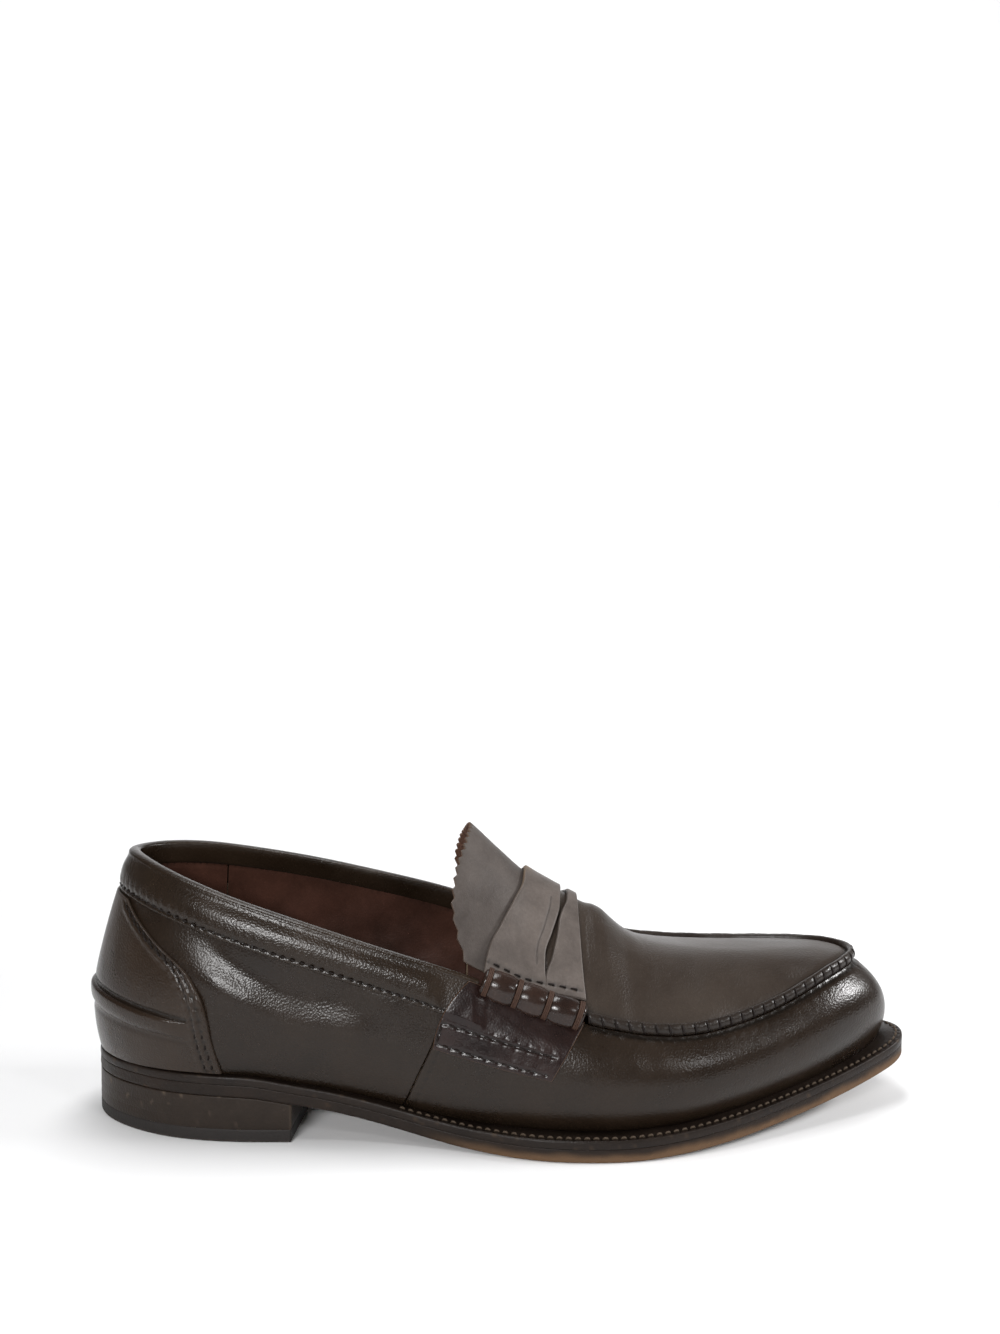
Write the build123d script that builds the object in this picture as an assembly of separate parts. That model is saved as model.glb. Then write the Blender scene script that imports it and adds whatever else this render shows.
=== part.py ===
from build123d import *
import os
import numpy as np

# Penny loafer for a right foot. X runs from the heel to the toe, -Y is the outer (lateral) side,
# +Z is up, the floor is z = 0. Millimetres.

# ---- driving dimensions -------------------------------------------------------------------------
LEATHER = 1.2          # upper leather
BACKER = 0.75          # toe puff, side backers, heel stiffener
LINING = 0.95          # lining leather
GAP = 0.05             # air between layers that lie on each other
EDGE_HEEL = 7.0        # height of the whole sole edge over the heel
EDGE_WAIST = 6.7       # height of the whole sole edge in the waist
EDGE_FORE = 7.4        # height of the whole sole edge in the forepart
WELT = 2.8             # thickness of the welt and the heel rand
TOP_PIECE = 4.5        # worn piece that meets the floor
LIFT = 3.5             # one stacked heel lift
COLLAR = 13.0          # width of the collar band
TAB = 1.05             # thickness of the side tabs, collar and counter cover
STRAP = 1.6            # saddle strap thickness
TONGUE = 1.3           # tongue thickness
HINGE = (7.0, 86.3)    # tongue bend line, x and z, behind the strap's rear edge

# Bottom of the sole along the shoe: x, z. The forepart lies flat on the floor, the toe springs up.
BOTTOM = [(-156, 16.2), (-120, 16.0), (-90, 15.5), (-70, 12.7), (-60, 11.0), (-50, 8.9), (-37, 5.9),
          (-23, 2.9), (-9, 0.9), (5, 0.12), (18, 0.0), (38, 0.0), (58, 0.8), (80, 2.6), (103, 5.8),
          (123, 9.6), (142, 14.0), (156, 18.2)]

# Sole outline seen from above, from the back of the heel round the lateral side.
OUTLINE = [(-148.6, 0), (-143, -13), (-132, -22.5), (-118, -29.6), (-103, -33.4), (-87, -34.8),
           (-69, -34.8), (-45, -35.8), (-20, -40.2), (4, -46.8), (21, -49.8), (39, -49.8), (58, -46.2),
           (80, -37.8), (103, -26.4), (122, -16.6), (138, -7.2), (147.5, 0.2), (151, 9.5), (148.5, 20),
           (141, 29.5), (126, 39), (104, 46), (78, 49.2), (50, 47.4), (20, 39.5), (-10, 31.5),
           (-40, 28.8), (-68, 31.2), (-88, 33.8), (-104, 33.2), (-119, 29.4), (-132.5, 22), (-143, 12.6)]

# Upper: at each station the feather point (x, y), the top point (x, y, z) and two fullness values
# that swell the wall low down and high up. Stations run round like the outline.
STATIONS = [
    (-146.8, 0.0, -136.6, 0.0, 94.5, 10.8, 3.0),
    (-138.5, -16.5, -130.0, -12.5, 93.2, 10.4, 3.4),
    (-120.0, -28.0, -115.0, -23.5, 89.0, 10.0, 4.4),
    (-95.0, -32.5, -92.0, -30.3, 81.6, 9.0, 5.6),
    (-68.0, -32.5, -66.0, -33.4, 73.6, 8.2, 6.0),
    (-40.0, -33.0, -40.0, -34.9, 65.4, 8.8, 6.0),
    (-14.0, -36.6, -15.0, -35.8, 57.6, 9.6, 6.4),
    (12.0, -41.3, 9.0, -36.6, 48.5, 8.8, 8.0),
    (37.0, -42.6, 34.0, -37.8, 41.0, 8.0, 9.6),
    (60.0, -38.9, 59.0, -36.0, 37.6, 7.4, 9.8),
    (81.5, -30.6, 80.0, -29.0, 38.8, 7.2, 9.8),
    (101.0, -20.9, 100.0, -20.0, 43.4, 7.2, 10.4),
    (120.5, -10.5, 117.5, -9.6, 49.2, 7.4, 11.4),
    (140.5, 6.0, 131.0, 5.5, 51.8, 7.5, 12.5),
    (137.0, 22.0, 127.5, 19.5, 52.0, 7.8, 12.0),
    (122.5, 33.8, 114.0, 28.5, 51.0, 8.0, 11.0),
    (103.0, 40.5, 96.0, 33.6, 49.8, 7.2, 9.4),
    (80.0, 43.2, 75.0, 35.6, 49.5, 7.0, 8.4),
    (55.0, 41.3, 51.5, 35.8, 51.0, 7.8, 8.0),
    (28.0, 35.2, 26.5, 35.2, 56.0, 9.0, 7.8),
    (2.0, 28.2, 2.0, 34.2, 63.8, 10.6, 7.2),
    (-25.0, 25.0, -23.0, 33.4, 72.0, 11.6, 7.0),
    (-50.0, 26.2, -49.0, 32.6, 78.6, 11.0, 6.8),
    (-75.0, 29.8, -73.0, 31.4, 84.0, 10.0, 6.0),
    (-98.0, 31.6, -95.0, 28.2, 88.5, 9.2, 5.0),
    (-120.5, 27.5, -115.0, 21.8, 92.3, 10.0, 4.0),
    (-138.5, 16.0, -130.0, 11.8, 94.2, 10.4, 3.2)]

# Strap and tongue surface: x, crest height, fall to the outer side and to the inner side at 32 mm.
INSTEP = [(-26, 119.6, 38.5, 34.0), (-11.4, 106.4, 35.6, 31.0), (0, 95.8, 31.8, 27.0),
          (8.6, 88.2, 28.6, 24.0), (18, 82.7, 25.6, 21.4), (27.6, 77.6, 23.0, 19.2),
          (36, 73.4, 21.4, 17.6)]
# Apron surface in the same terms, then the sideways place of its crest.
APRON = [(8, 86.0, 28.6, 22.5, 1.0), (14, 83.1, 26.8, 21.5, 1.0), (24, 77.5, 24.6, 18.6, 1.0),
         (29, 75.3, 24.2, 17.8, 1.0), (32.5, 73.9, 23.8, 17.2, 1.0), (36.2, 72.0, 22.6, 15.6, 1.1),
         (40.7, 67.8, 19.6, 12.4, 1.3), (45.6, 63.6, 17.4, 9.4, 1.5), (55, 59.5, 15.2, 6.6, 1.9),
         (70, 57.4, 15.6, 5.4, 2.6), (85, 56.5, 18.2, 5.3, 3.8), (100, 56.2, 19.0, 5.6, 6.0),
         (118, 55.9, 12.6, 6.0, 9.0), (131, 54.9, 9.0, 5.0, 10.0), (142, 53.0, 8.0, 5.0, 10.0)]

os.makedirs("parts", exist_ok=True)
node = {}


# ---- curves -------------------------------------------------------------------------------------
def closed_spline(values):
    """Smooth closed curve through values at 0, 1, 2 ... as a function of the station number."""
    values = np.array(values, float)
    count = len(values)
    matrix = 4 * np.eye(count) + np.roll(np.eye(count), 1, 1) + np.roll(np.eye(count), -1, 1)
    bend = np.linalg.solve(matrix, 6 * (np.roll(values, -1) - 2 * values + np.roll(values, 1)))

    def at(u):
        u = np.asarray(u, float) % count
        i = np.floor(u).astype(int) % count
        j = (i + 1) % count
        f = u - np.floor(u)
        a = 1 - f
        return a * values[i] + f * values[j] + ((a ** 3 - a) * bend[i] + (f ** 3 - f) * bend[j]) / 6

    return at


def steady_curve(xs, ys):
    """Curve through the points that never overshoots them."""
    xs = np.array(xs, float)
    ys = np.array(ys, float)
    step = np.diff(xs)
    rise = np.diff(ys) / step
    slope = np.zeros(len(xs))
    slope[0] = rise[0]
    slope[-1] = rise[-1]
    for i in range(1, len(xs) - 1):
        if rise[i - 1] * rise[i] > 0:
            slope[i] = 2 * rise[i - 1] * rise[i] / (rise[i - 1] + rise[i])

    def at(x):
        x = np.clip(np.asarray(x, float), xs[0], xs[-1])
        i = np.clip(np.searchsorted(xs, x, side="right") - 1, 0, len(xs) - 2)
        w = step[i]
        f = (x - xs[i]) / w
        keep = (1 + 2 * f) * (1 - f) ** 2 * ys[i] + f * f * (3 - 2 * f) * ys[i + 1]
        return keep + w * (f * (1 - f) ** 2 * slope[i] + f * f * (f - 1) * slope[i + 1])

    return at


bottom = steady_curve([p[0] for p in BOTTOM], [p[1] for p in BOTTOM])
edge_height = steady_curve([-156, -90, -60, -25, 5, 40, 156],
                           [EDGE_HEEL, EDGE_HEEL, EDGE_WAIST, EDGE_WAIST + 0.2, EDGE_FORE, EDGE_FORE,
                            EDGE_FORE + 0.2])


def welt_top(x):
    return bottom(x) + edge_height(x)


outline_x = closed_spline([p[0] for p in OUTLINE])
outline_y = closed_spline([p[1] for p in OUTLINE])
feather_x = closed_spline([s[0] for s in STATIONS])
feather_y = closed_spline([s[1] for s in STATIONS])
top_x = closed_spline([s[2] for s in STATIONS])
top_y = closed_spline([s[3] for s in STATIONS])
top_z = closed_spline([s[4] for s in STATIONS])
full_low = closed_spline([s[5] for s in STATIONS])
full_high = closed_spline([s[6] for s in STATIONS])


def outward(cx, cy, u):
    """Level direction out of a curve that runs counter-clockwise seen from above."""
    dx = cx(u + 0.02) - cx(u - 0.02)
    dy = cy(u + 0.02) - cy(u - 0.02)
    size = np.hypot(dx, dy)
    return dy / size, -dx / size


def wall(u, v, d=0.0):
    """Point of the upper's wall: u round the shoe, v from feather to top, d out of the leather."""
    def skin(a, b):
        nx, ny = outward(feather_x, feather_y, a)
        swell = 3 * b * (1 - b) ** 2 * full_low(a) + 3 * b * b * (1 - b) * full_high(a)
        foot = welt_top(feather_x(a)) + 0.1
        return np.stack([feather_x(a) * (1 - b) + top_x(a) * b + nx * swell,
                         feather_y(a) * (1 - b) + top_y(a) * b + ny * swell,
                         foot * (1 - b) + top_z(a) * b], -1)

    here = skin(u, v)
    along = skin(u + 0.01, v) - skin(u - 0.01, v)
    up = skin(u, v + 0.005) - skin(u, v - 0.005)
    out = np.cross(along, up)
    out = out / np.linalg.norm(out, axis=-1, keepdims=True)
    return here + out * np.asarray(d)[..., None]


def smooth_part(table, column, x):
    return steady_curve([row[0] for row in table], [row[column] for row in table])(x)


def saddle(table, x, y, centre, power):
    """Height of a saddle surface: a crest line with its own fall to each side."""
    soft = 3.0
    reach = (np.sqrt((y - centre) ** 2 + soft ** 2)) ** power - soft ** power
    unit = (np.sqrt(32.0 ** 2 + soft ** 2)) ** power - soft ** power
    fall = np.where(y < centre, smooth_part(table, 2, x), smooth_part(table, 3, x))
    return smooth_part(table, 1, x) - fall * reach / unit


def instep_height(x, y):
    return saddle(INSTEP, x, y, 1.0, 1.45 + np.clip((28 - x) / 40, 0, 1) * 0.35)


def apron_height(x, y):
    """The apron dips under the strap and comes up in a fold in front of it."""
    free = saddle(APRON, x, y, smooth_part(APRON, 4, x), 1.45 + np.clip((x - 34) / 22, 0, 1) * 0.55)
    sx = (instep_height(x + 0.1, y) - instep_height(x - 0.1, y)) / 0.2
    sy = (instep_height(x, y + 0.1) - instep_height(x, y - 0.1)) / 0.2
    under = instep_height(x, y) - (STRAP + 0.35) * np.sqrt(1 + sx ** 2 + sy ** 2)
    w = np.clip((x - 28.8) / 5.0, 0, 1)
    w = w * w * (3 - 2 * w)
    return under * (1 - w) + free * w


# ---- solids -------------------------------------------------------------------------------------
def skin_face(grid):
    rows = [[tuple(float(c) for c in p) for p in row] for row in grid]
    return Face.make_surface_from_array_of_points(rows, tol=0.01, min_deg=3, max_deg=3)


def slab(outer, inner):
    """Solid between two grids of points that face each other."""
    one = skin_face(outer)
    two = skin_face(inner)
    faces = [one, two]
    for edge in one.edges():
        middle = edge.position_at(0.5)
        other = min(two.edges(), key=lambda e: (e.position_at(0.5) - middle).length)
        if (edge.position_at(0) - other.position_at(0)).length > (
                edge.position_at(0) - other.position_at(1)).length:
            other = other.reversed()
        faces.append(Face.make_surface_from_curves(edge, other))
    body = Solid(Shell(faces))
    return body


def patch(u0, u1, v0, v1, inside, outside, nu=40, nv=9):
    """Leather piece on the wall. The four borders are numbers, or functions of the other way."""
    s = np.linspace(0, 1, nu)[:, None] * np.ones((1, nv))
    t = np.linspace(0, 1, nv)[None, :] * np.ones((nu, 1))
    low = u0(t) if callable(u0) else u0
    high = u1(t) if callable(u1) else u1
    u = low + (high - low) * s
    base = v0(u) if callable(v0) else v0
    crown = v1(u) if callable(v1) else v1
    v = base + (crown - base) * t
    return slab(wall(u, v, np.full_like(u, outside)), wall(u, v, np.full_like(u, inside)))


def sheet(height, x0, x1, y0, y1, upper, lower, nx=26, ny=26):
    """Slab under a height surface, from upper to lower below it, measured square to the surface."""
    x = np.linspace(x0, x1, nx)[:, None] * np.ones((1, ny))
    y = np.linspace(y0, y1, ny)[None, :] * np.ones((nx, 1))
    z = height(x, y)
    sx = (height(x + 0.1, y) - height(x - 0.1, y)) / 0.2
    sy = (height(x, y + 0.1) - height(x, y - 0.1)) / 0.2
    lean = np.sqrt(1 + sx ** 2 + sy ** 2)
    return slab(np.stack([x, y, z - upper * lean], -1), np.stack([x, y, z - lower * lean], -1))


def ring(cx, cy, count, offset, samples=90):
    u = np.linspace(0, count, samples, endpoint=False)
    nx, ny = outward(cx, cy, u)
    return [(float(a), float(b)) for a, b in zip(cx(u) + nx * offset, cy(u) + ny * offset)]


def plan(points, low=-5, high=130):
    """Upright prism over a smooth closed outline."""
    face = make_face(Spline(*points, periodic=True))
    return Pos(0, 0, low) * extrude(face, high - low, dir=(0, 0, 1))


def cut_plan(points, low=-5, high=130):
    """Upright prism over a straight-sided outline."""
    face = make_face(Polyline(*points, close=True))
    return Pos(0, 0, low) * extrude(face, high - low, dir=(0, 0, 1))


def layer(low, high, x0=-155.0, x1=155.0, samples=48):
    """Block between two side profiles, right across the shoe."""
    xs = np.linspace(x0, x1, samples)
    under = [(float(x), float(low(x))) for x in xs]
    over = [(float(x), float(high(x))) for x in xs]
    with BuildSketch(Plane.XZ) as side:
        with BuildLine():
            Spline(*under)
            Spline(*over)
            Line(under[0], over[0])
            Line(under[-1], over[-1])
        make_face()
    return extrude(side.sketch, 70, both=True)


def outline_prism(offset):
    return plan(ring(outline_x, outline_y, len(OUTLINE), offset))


def feather_prism(offset):
    return plan(ring(feather_x, feather_y, len(STATIONS), offset))


# ---- sole ---------------------------------------------------------------------------------------
whole = outline_prism(0)
inner_edge = feather_prism(-3.0)
filling = feather_prism(-3.2)
seat_side = cut_plan([(-170, -80), (-75.2, -80), (-66.4, 80), (-170, 80)])
front_side = cut_plan([(-75.15, -80), (170, -80), (170, 80), (-66.35, 80)])
sole_block = layer(bottom, lambda x: welt_top(x) - WELT)
outsole = sole_block & whole
band = layer(lambda x: welt_top(x) - WELT, welt_top) & (whole - inner_edge)
node["welt"] = band & front_side
node["heel_rand"] = band & seat_side

# Welt stitching: a raised cord of thread that runs round the welt, clear of the heel.
thread_ring = outline_prism(-1.9) - outline_prism(-2.7)
node["welt_stitching"] = (layer(welt_top, lambda x: welt_top(x) + 0.4) & thread_ring
                          & cut_plan([(-36, -80), (170, -80), (170, 80), (-36, 80)]))
# The same seam comes out in a channel cut in the outsole.
channel = ((outline_prism(-4.2) - outline_prism(-5.2))
           & cut_plan([(-55, -80), (170, -80), (170, 80), (-55, 80)]))
groove = layer(lambda x: bottom(x) - 1, lambda x: bottom(x) + 0.7) & channel
node["outsole_stitching"] = layer(lambda x: bottom(x) + 0.25, lambda x: bottom(x) + 0.68) & channel
outsole = outsole - groove

cork_side = cut_plan([(-12, -80), (170, -80), (170, 80), (-12, 80)])
board_side = cut_plan([(-170, -80), (-12.3, -80), (-12.3, 80), (-170, 80)])
node["cork_filler"] = (layer(lambda x: welt_top(x) - WELT, lambda x: welt_top(x) + 0.1)
                       & filling & cork_side)
shank_cover = (layer(lambda x: welt_top(x) - WELT, lambda x: welt_top(x) - 1.5)
               & filling & board_side)
shank_plan = cut_plan([(-112, -6), (-60, -5), (-14, -8), (-14, 6), (-60, 7), (-112, 7)])
node["steel_shank"] = layer(lambda x: welt_top(x) - 1.45, lambda x: welt_top(x) - 0.2) & shank_plan
insole = layer(lambda x: welt_top(x) + 0.15, lambda x: welt_top(x) + 2.6) & feather_prism(-3.2)
node["sock_lining"] = (layer(lambda x: welt_top(x) + 2.65, lambda x: welt_top(x) + 3.4)
                       & feather_prism(-3.4))

# ---- heel ---------------------------------------------------------------------------------------
seat = outline_prism(-0.1) & seat_side
lift_3_top = TOP_PIECE + LIFT
lift_2_top = lift_3_top + LIFT
top_piece = seat & Pos(-110, 0, TOP_PIECE / 2) * Box(100, 100, TOP_PIECE)
lift_3 = seat & Pos(-110, 0, TOP_PIECE + LIFT / 2) * Box(100, 100, LIFT)
lift_2 = seat & Pos(-110, 0, lift_3_top + LIFT / 2) * Box(100, 100, LIFT)
lift_1_top = 16.3
lift_1_box = Pos(-110, 0, (lift_2_top + lift_1_top) / 2) * Box(100, 100, lift_1_top - lift_2_top)
lift_1 = (seat & lift_1_box) - sole_block
# Clinched nails hold the seat to the stack, and fine nails hold the top piece.
seat_nails = None
for x, y in [(-134, 0), (-124, -17), (-124, 17), (-100, -22), (-100, 22), (-82, -21), (-82, 20)]:
    pin = Pos(x, y, 9.5 + 7.1) * Cylinder(0.9, 14.2)
    seat_nails = pin if seat_nails is None else seat_nails + pin
top_nails = None
for x, y in [(-141, 0), (-136, -12), (-136, 12), (-124, -21.5), (-124, 21.5), (-108, -26.5),
             (-108, 26.5), (-92, -28), (-92, 28), (-78, -28), (-78, 26)]:
    pin = Pos(x, y, 4.4) * Cylinder(0.8, 7)
    top_nails = pin if top_nails is None else top_nails + pin
node["seat_nails"] = seat_nails
node["top_piece_nails"] = top_nails
node["heel_top_piece"] = top_piece - top_nails - Pos(0, 0, -4) * top_nails
node["heel_lift_3"] = lift_3 - top_nails
node["heel_lift_2"] = lift_2 - seat_nails
node["heel_lift_1"] = lift_1 - seat_nails
node["outsole"] = outsole - seat_nails
node["shank_cover"] = shank_cover - seat_nails
node["insole"] = insole - seat_nails


# ---- upper: wall pieces -------------------------------------------------------------------------
def seam_lateral(t):
    return 5.22 + 0.87 * t


def seam_medial(t):
    return 21.35 - 0.8 * t


leather_in = -LEATHER
backer_out = leather_in - GAP
backer_in = backer_out - BACKER
lining_out = backer_in - GAP
lining_in = lining_out - LINING

node["vamp"] = patch(seam_lateral, seam_medial, 0.0, 1.0, leather_in, 0.0, nu=110, nv=13)
node["quarter_lateral"] = patch(0.01, lambda t: seam_lateral(t) - 0.008, 0.0, 1.0, leather_in, 0.0,
                                nu=44, nv=13)
node["quarter_medial"] = patch(lambda t: seam_medial(t) + 0.008, 26.99, 0.0, 1.0, leather_in, 0.0,
                               nu=44, nv=13)
node["toe_puff"] = patch(10.5, 15.6, 0.02, 0.93, backer_in, backer_out, nu=50, nv=9)
node["side_backer_lateral"] = patch(4.2, 8.6, 0.1, 0.93, backer_in, backer_out, nu=40, nv=7)
node["side_backer_medial"] = patch(18.0, 22.6, 0.1, 0.93, backer_in, backer_out, nu=40, nv=7)
node["heel_stiffener"] = patch(-3.0, 3.0, 0.02, 0.78, backer_in, backer_out, nu=60, nv=9)
node["vamp_lining"] = patch(6.3, 20.6, 0.02, 0.96, lining_in, lining_out, nu=100, nv=11)
node["quarter_lining_lateral"] = patch(2.42, 6.28, 0.02, 0.995, lining_in, lining_out, nu=40, nv=11)
node["quarter_lining_medial"] = patch(20.62, 24.58, 0.02, 0.995, lining_in, lining_out, nu=40, nv=11)
node["heel_lining"] = patch(-2.4, 2.4, 0.02, 0.995, lining_in, lining_out, nu=56, nv=11)


def wall_height(u):
    return top_z(u) - welt_top(feather_x(u))


def collar_low(u):
    return 1 - COLLAR / wall_height(u)


node["collar_lateral"] = patch(0.02, 5.66, collar_low, 0.998, GAP, GAP + 0.9, nu=50, nv=5)
node["collar_medial"] = patch(20.98, 26.98, collar_low, 0.998, GAP, GAP + 0.9, nu=50, nv=5)


def stitch_strip(u0, u1, v_of_u, width, inside, nu=60):
    """A line of thread on a leather piece."""
    half = width / 2
    return patch(u0, u1, lambda u: v_of_u(u) - half / wall_height(u),
                 lambda u: v_of_u(u) + half / wall_height(u), inside, inside + 0.3, nu=nu, nv=4)


collar_thread = stitch_strip(0.03, 5.6, lambda u: collar_low(u) + 1.6 / wall_height(u), 0.7, GAP + 0.92)
collar_thread_2 = stitch_strip(21.05, 26.97, lambda u: collar_low(u) + 1.6 / wall_height(u), 0.7,
                               GAP + 0.92)
node["collar_stitching"] = Compound([collar_thread, collar_thread_2])

# Counter cover: one piece round the back of the heel. Its front border sweeps back as it rises.
cover_reach = steady_curve([0.0, 0.25, 0.5, 0.7, 0.85, 1.0], [2.95, 2.84, 2.74, 2.5, 1.85, 1.0])


def cover(scale, low, high, inside, outside, nu=70, nv=15):
    t = np.linspace(0, 1, nv)[None, :] * np.ones((nu, 1))
    s = np.linspace(-1, 1, nu)[:, None] * np.ones((1, nv))
    t = low + (high - low) * t
    u = s * (cover_reach(t) - scale)
    v = 0.014 + t * (collar_low(u) - 0.024)
    return slab(wall(u, v, np.full_like(u, outside)), wall(u, v, np.full_like(u, inside)))


COVER_IN = 0.1
COVER_OUT = COVER_IN + TAB
node["counter_cover"] = cover(0.0, 0.0, 1.0, COVER_IN, COVER_OUT)


def cover_thread(scale):
    """Line of thread that follows the cover's border up one side and down the other."""
    lines = []
    for side in (-1, 1):
        t = np.linspace(0.02, 0.97, 40)[:, None] * np.ones((1, 4))
        w = np.linspace(-0.016, 0.016, 4)[None, :] * np.ones((40, 1))
        u = side * (cover_reach(t) - scale + w)
        v = 0.014 + t * (collar_low(u) - 0.024)
        lines.append(slab(wall(u, v, np.full_like(u, COVER_OUT + 0.56)),
                          wall(u, v, np.full_like(u, COVER_OUT + 0.26))))
    return lines


node["counter_stitching"] = Compound(cover_thread(0.11) + cover_thread(0.22))
# Rolled ridge moulded round the heel.
ridge_out = 2.55
node["heel_ridge"] = patch(-2.55, 2.55, lambda u: 0.26 - 0.012 * np.abs(u) ** 1.5,
                           lambda u: 0.355 - 0.012 * np.abs(u) ** 1.5, COVER_OUT + 0.07, ridge_out,
                           nu=60, nv=5)

# ---- upper: side tabs, beef rolls and their thread ----------------------------------------------
def tab_patch(side, s0, s1, t0, t1, inside, outside, nu=30, nv=8):
    """Side tab. s runs forward, t runs up. The border slopes like a parallelogram."""
    s = np.linspace(s0, s1, nu)[:, None] * np.ones((1, nv))
    t = np.linspace(t0, t1, nv)[None, :] * np.ones((nu, 1))
    if side == "lateral":
        back = 5.70 + 0.16 * t
        front = 7.25 + 0.50 * t
        low = 0.505 - 0.03 * s
    else:
        back = 20.92 - 0.20 * t
        front = 19.30 - 0.42 * t
        low = 0.62 - 0.05 * s
    u = back + (front - back) * s
    v = low + (0.997 - low) * t
    one = wall(u, v, np.full_like(u, outside))
    two = wall(u, v, np.full_like(u, inside))
    return slab(one, two)


node["side_tab_lateral"] = tab_patch("lateral", 0, 1, 0, 1, GAP, GAP + TAB)
node["side_tab_medial"] = tab_patch("medial", 0, 1, 0, 1, GAP, GAP + TAB)
tab_threads = []
for side in ("lateral", "medial"):
    for low, high in ((0.07, 0.10), (0.36, 0.39)):
        tab_threads.append(tab_patch(side, 0.05, 0.93, low, high, GAP + TAB + 0.02, GAP + TAB + 0.3, 40, 4))
    tab_threads.append(tab_patch(side, 0.02, 0.035, 0.10, 0.36, GAP + TAB + 0.02, GAP + TAB + 0.3, 4, 12))
node["tab_stitching"] = Compound(tab_threads)

ROLL_OUT = [(3.6, -1.7), (4.9, -0.9), (5.7, 0.8), (5.8, 2.8), (4.9, 4.9), (3.1, 6.2), (1.2, 6.6)]
ROLL_IN = [(3.35, -1.5), (2.75, -0.6), (2.0, 0.7), (1.6, 2.2), (1.35, 3.8), (1.1, 5.2), (0.9, 6.1)]


def roll_grid(section, u, grow=0.0):
    """Roll section swept along the top of the wall and sheared square to its sloping run."""
    section = np.array(section)
    if grow:
        centre = np.array([2.6, 2.4])
        away = section - centre
        section = section + grow * away / np.linalg.norm(away, axis=1)[:, None]
    nx, ny = outward(top_x, top_y, u)
    out = section[:, 0][None, :]
    rise = section[:, 1][None, :]
    x = top_x(u)[:, None] + nx[:, None] * out + 0.38 * rise
    y = top_y(u)[:, None] + ny[:, None] * out
    z = top_z(u)[:, None] + rise
    return np.stack([x, y, z], -1)


rolls = {"lateral": (6.30, 7.70), "medial": (20.32, 18.98)}
wraps = []
for side, (back, front) in rolls.items():
    u = np.linspace(back, front, 26)
    node["beef_roll_" + side] = slab(roll_grid(ROLL_OUT, u), roll_grid(ROLL_IN, u))
    for k in range(4):
        middle = back + (front - back) * (0.05 + 0.3 * k)
        strip = np.linspace(middle - 0.02, middle + 0.02, 4)
        wraps.append(slab(roll_grid(ROLL_OUT[1:], strip, 0.75), roll_grid(ROLL_OUT[1:], strip, 0.08)))
node["roll_wraps"] = Compound(wraps)

# ---- upper: apron with its raised seam ----------------------------------------------------------
LIP_OUT = [(0.0, 0.05), (0.7, 0.9), (0.95, 2.0), (0.75, 3.1), (0.1, 3.95), (-0.4, 4.1)]
LIP_IN = [(-1.0, 0.05), (-1.3, 0.9), (-1.55, 2.0), (-1.55, 2.9), (-1.2, 3.7), (-0.8, 4.0)]


def lip_grid(section, u):
    section = np.array(section)
    nx, ny = outward(top_x, top_y, u)
    out = section[:, 0][None, :]
    rise = section[:, 1][None, :]
    return np.stack([top_x(u)[:, None] + nx[:, None] * out, top_y(u)[:, None] + ny[:, None] * out,
                     top_z(u)[:, None] + rise * np.ones_like(out)], -1)


lip_run = np.linspace(7.80, 18.86, 110)
node["apron_lip"] = slab(lip_grid(LIP_OUT, lip_run), lip_grid(LIP_IN, lip_run))
seam_run = np.linspace(7.84, 18.82, 110)
node["apron_stitching"] = slab(lip_grid([(0.35, -0.6), (0.75, -0.35), (0.95, 0.1), (1.0, 0.5)], seam_run),
                               lip_grid([(0.3, -0.4), (0.4, -0.15), (0.55, 0.2), (0.75, 0.55)], seam_run))


def apron_plan(offset):
    u = np.linspace(7.0, 19.65, 70)
    nx, ny = outward(top_x, top_y, u)
    points = [(float(a), float(b)) for a, b in zip(top_x(u) + nx * offset, top_y(u) + ny * offset)]
    with BuildSketch() as flat:
        with BuildLine():
            Spline(*points)
            Line(points[0], points[-1])
        make_face()
    return Pos(0, 0, 10) * extrude(flat.sketch, 110)


node["apron"] = sheet(apron_height, 14.0, 138, -44, 42, 0.0, 1.3, nx=60, ny=34) & apron_plan(-1.75)
node["apron_lining"] = sheet(apron_height, 16.0, 136, -44, 42, 1.6, 2.3, nx=60, ny=34) & apron_plan(-3.6)

# ---- upper: saddle strap and tongue -------------------------------------------------------------
strap_side = [(8.6, 1.0), (7.9, -8), (4.4, -17), (-0.2, -25), (-4.6, -31), (-6.4, -35.2)]
with BuildSketch() as strap_flat:
    with BuildLine():
        Spline((-6.2, 33.0), (-4.6, 31), (-0.4, 26), (4.4, 18.5), (7.9, 9.5), *strap_side)
        Line((-6.4, -35.2), (28.6, -36.4))
        Spline((28.6, -36.4), (27.9, -26), (27.6, -12), (27.6, 2), (27.7, 16), (28.4, 33.6))
        Line((28.4, 33.6), (-6.2, 33.0))
    make_face()
strap_prism = Pos(0, 0, 20) * extrude(strap_flat.sketch, 110)
# The coin slot: wide over the crest, pinched each side, then a lens that ends in a round.
slot_rear = [(14.2, -31.0), (14.9, -27), (17.6, -20.5), (19.6, -15.2), (20.6, -11.5), (21.2, -6), (21.6, 1),
             (21.2, 8), (20.6, 13.5), (19.6, 17.2), (17.6, 22.5), (14.9, 28), (14.0, 31.4)]
slot_front = [(15.0, 32.2), (17.2, 28.6), (19.4, 22.4), (20.4, 17.4), (21.8, 13.2), (23.6, 8), (24.2, 1),
              (23.6, -6), (21.8, -11.2), (20.4, -15.4), (19.4, -20.4), (17.2, -27), (15.3, -31.8)]
with BuildSketch() as slot_flat:
    with BuildLine():
        Polyline(*slot_rear, *slot_front, close=True)
    make_face()
slot = Pos(0, 0, 20) * extrude(slot_flat.sketch, 110)
strap = sheet(instep_height, -9, 31, -38, 36, 0.0, STRAP, nx=26, ny=44) & strap_prism
node["saddle_strap"] = strap - slot


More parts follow.
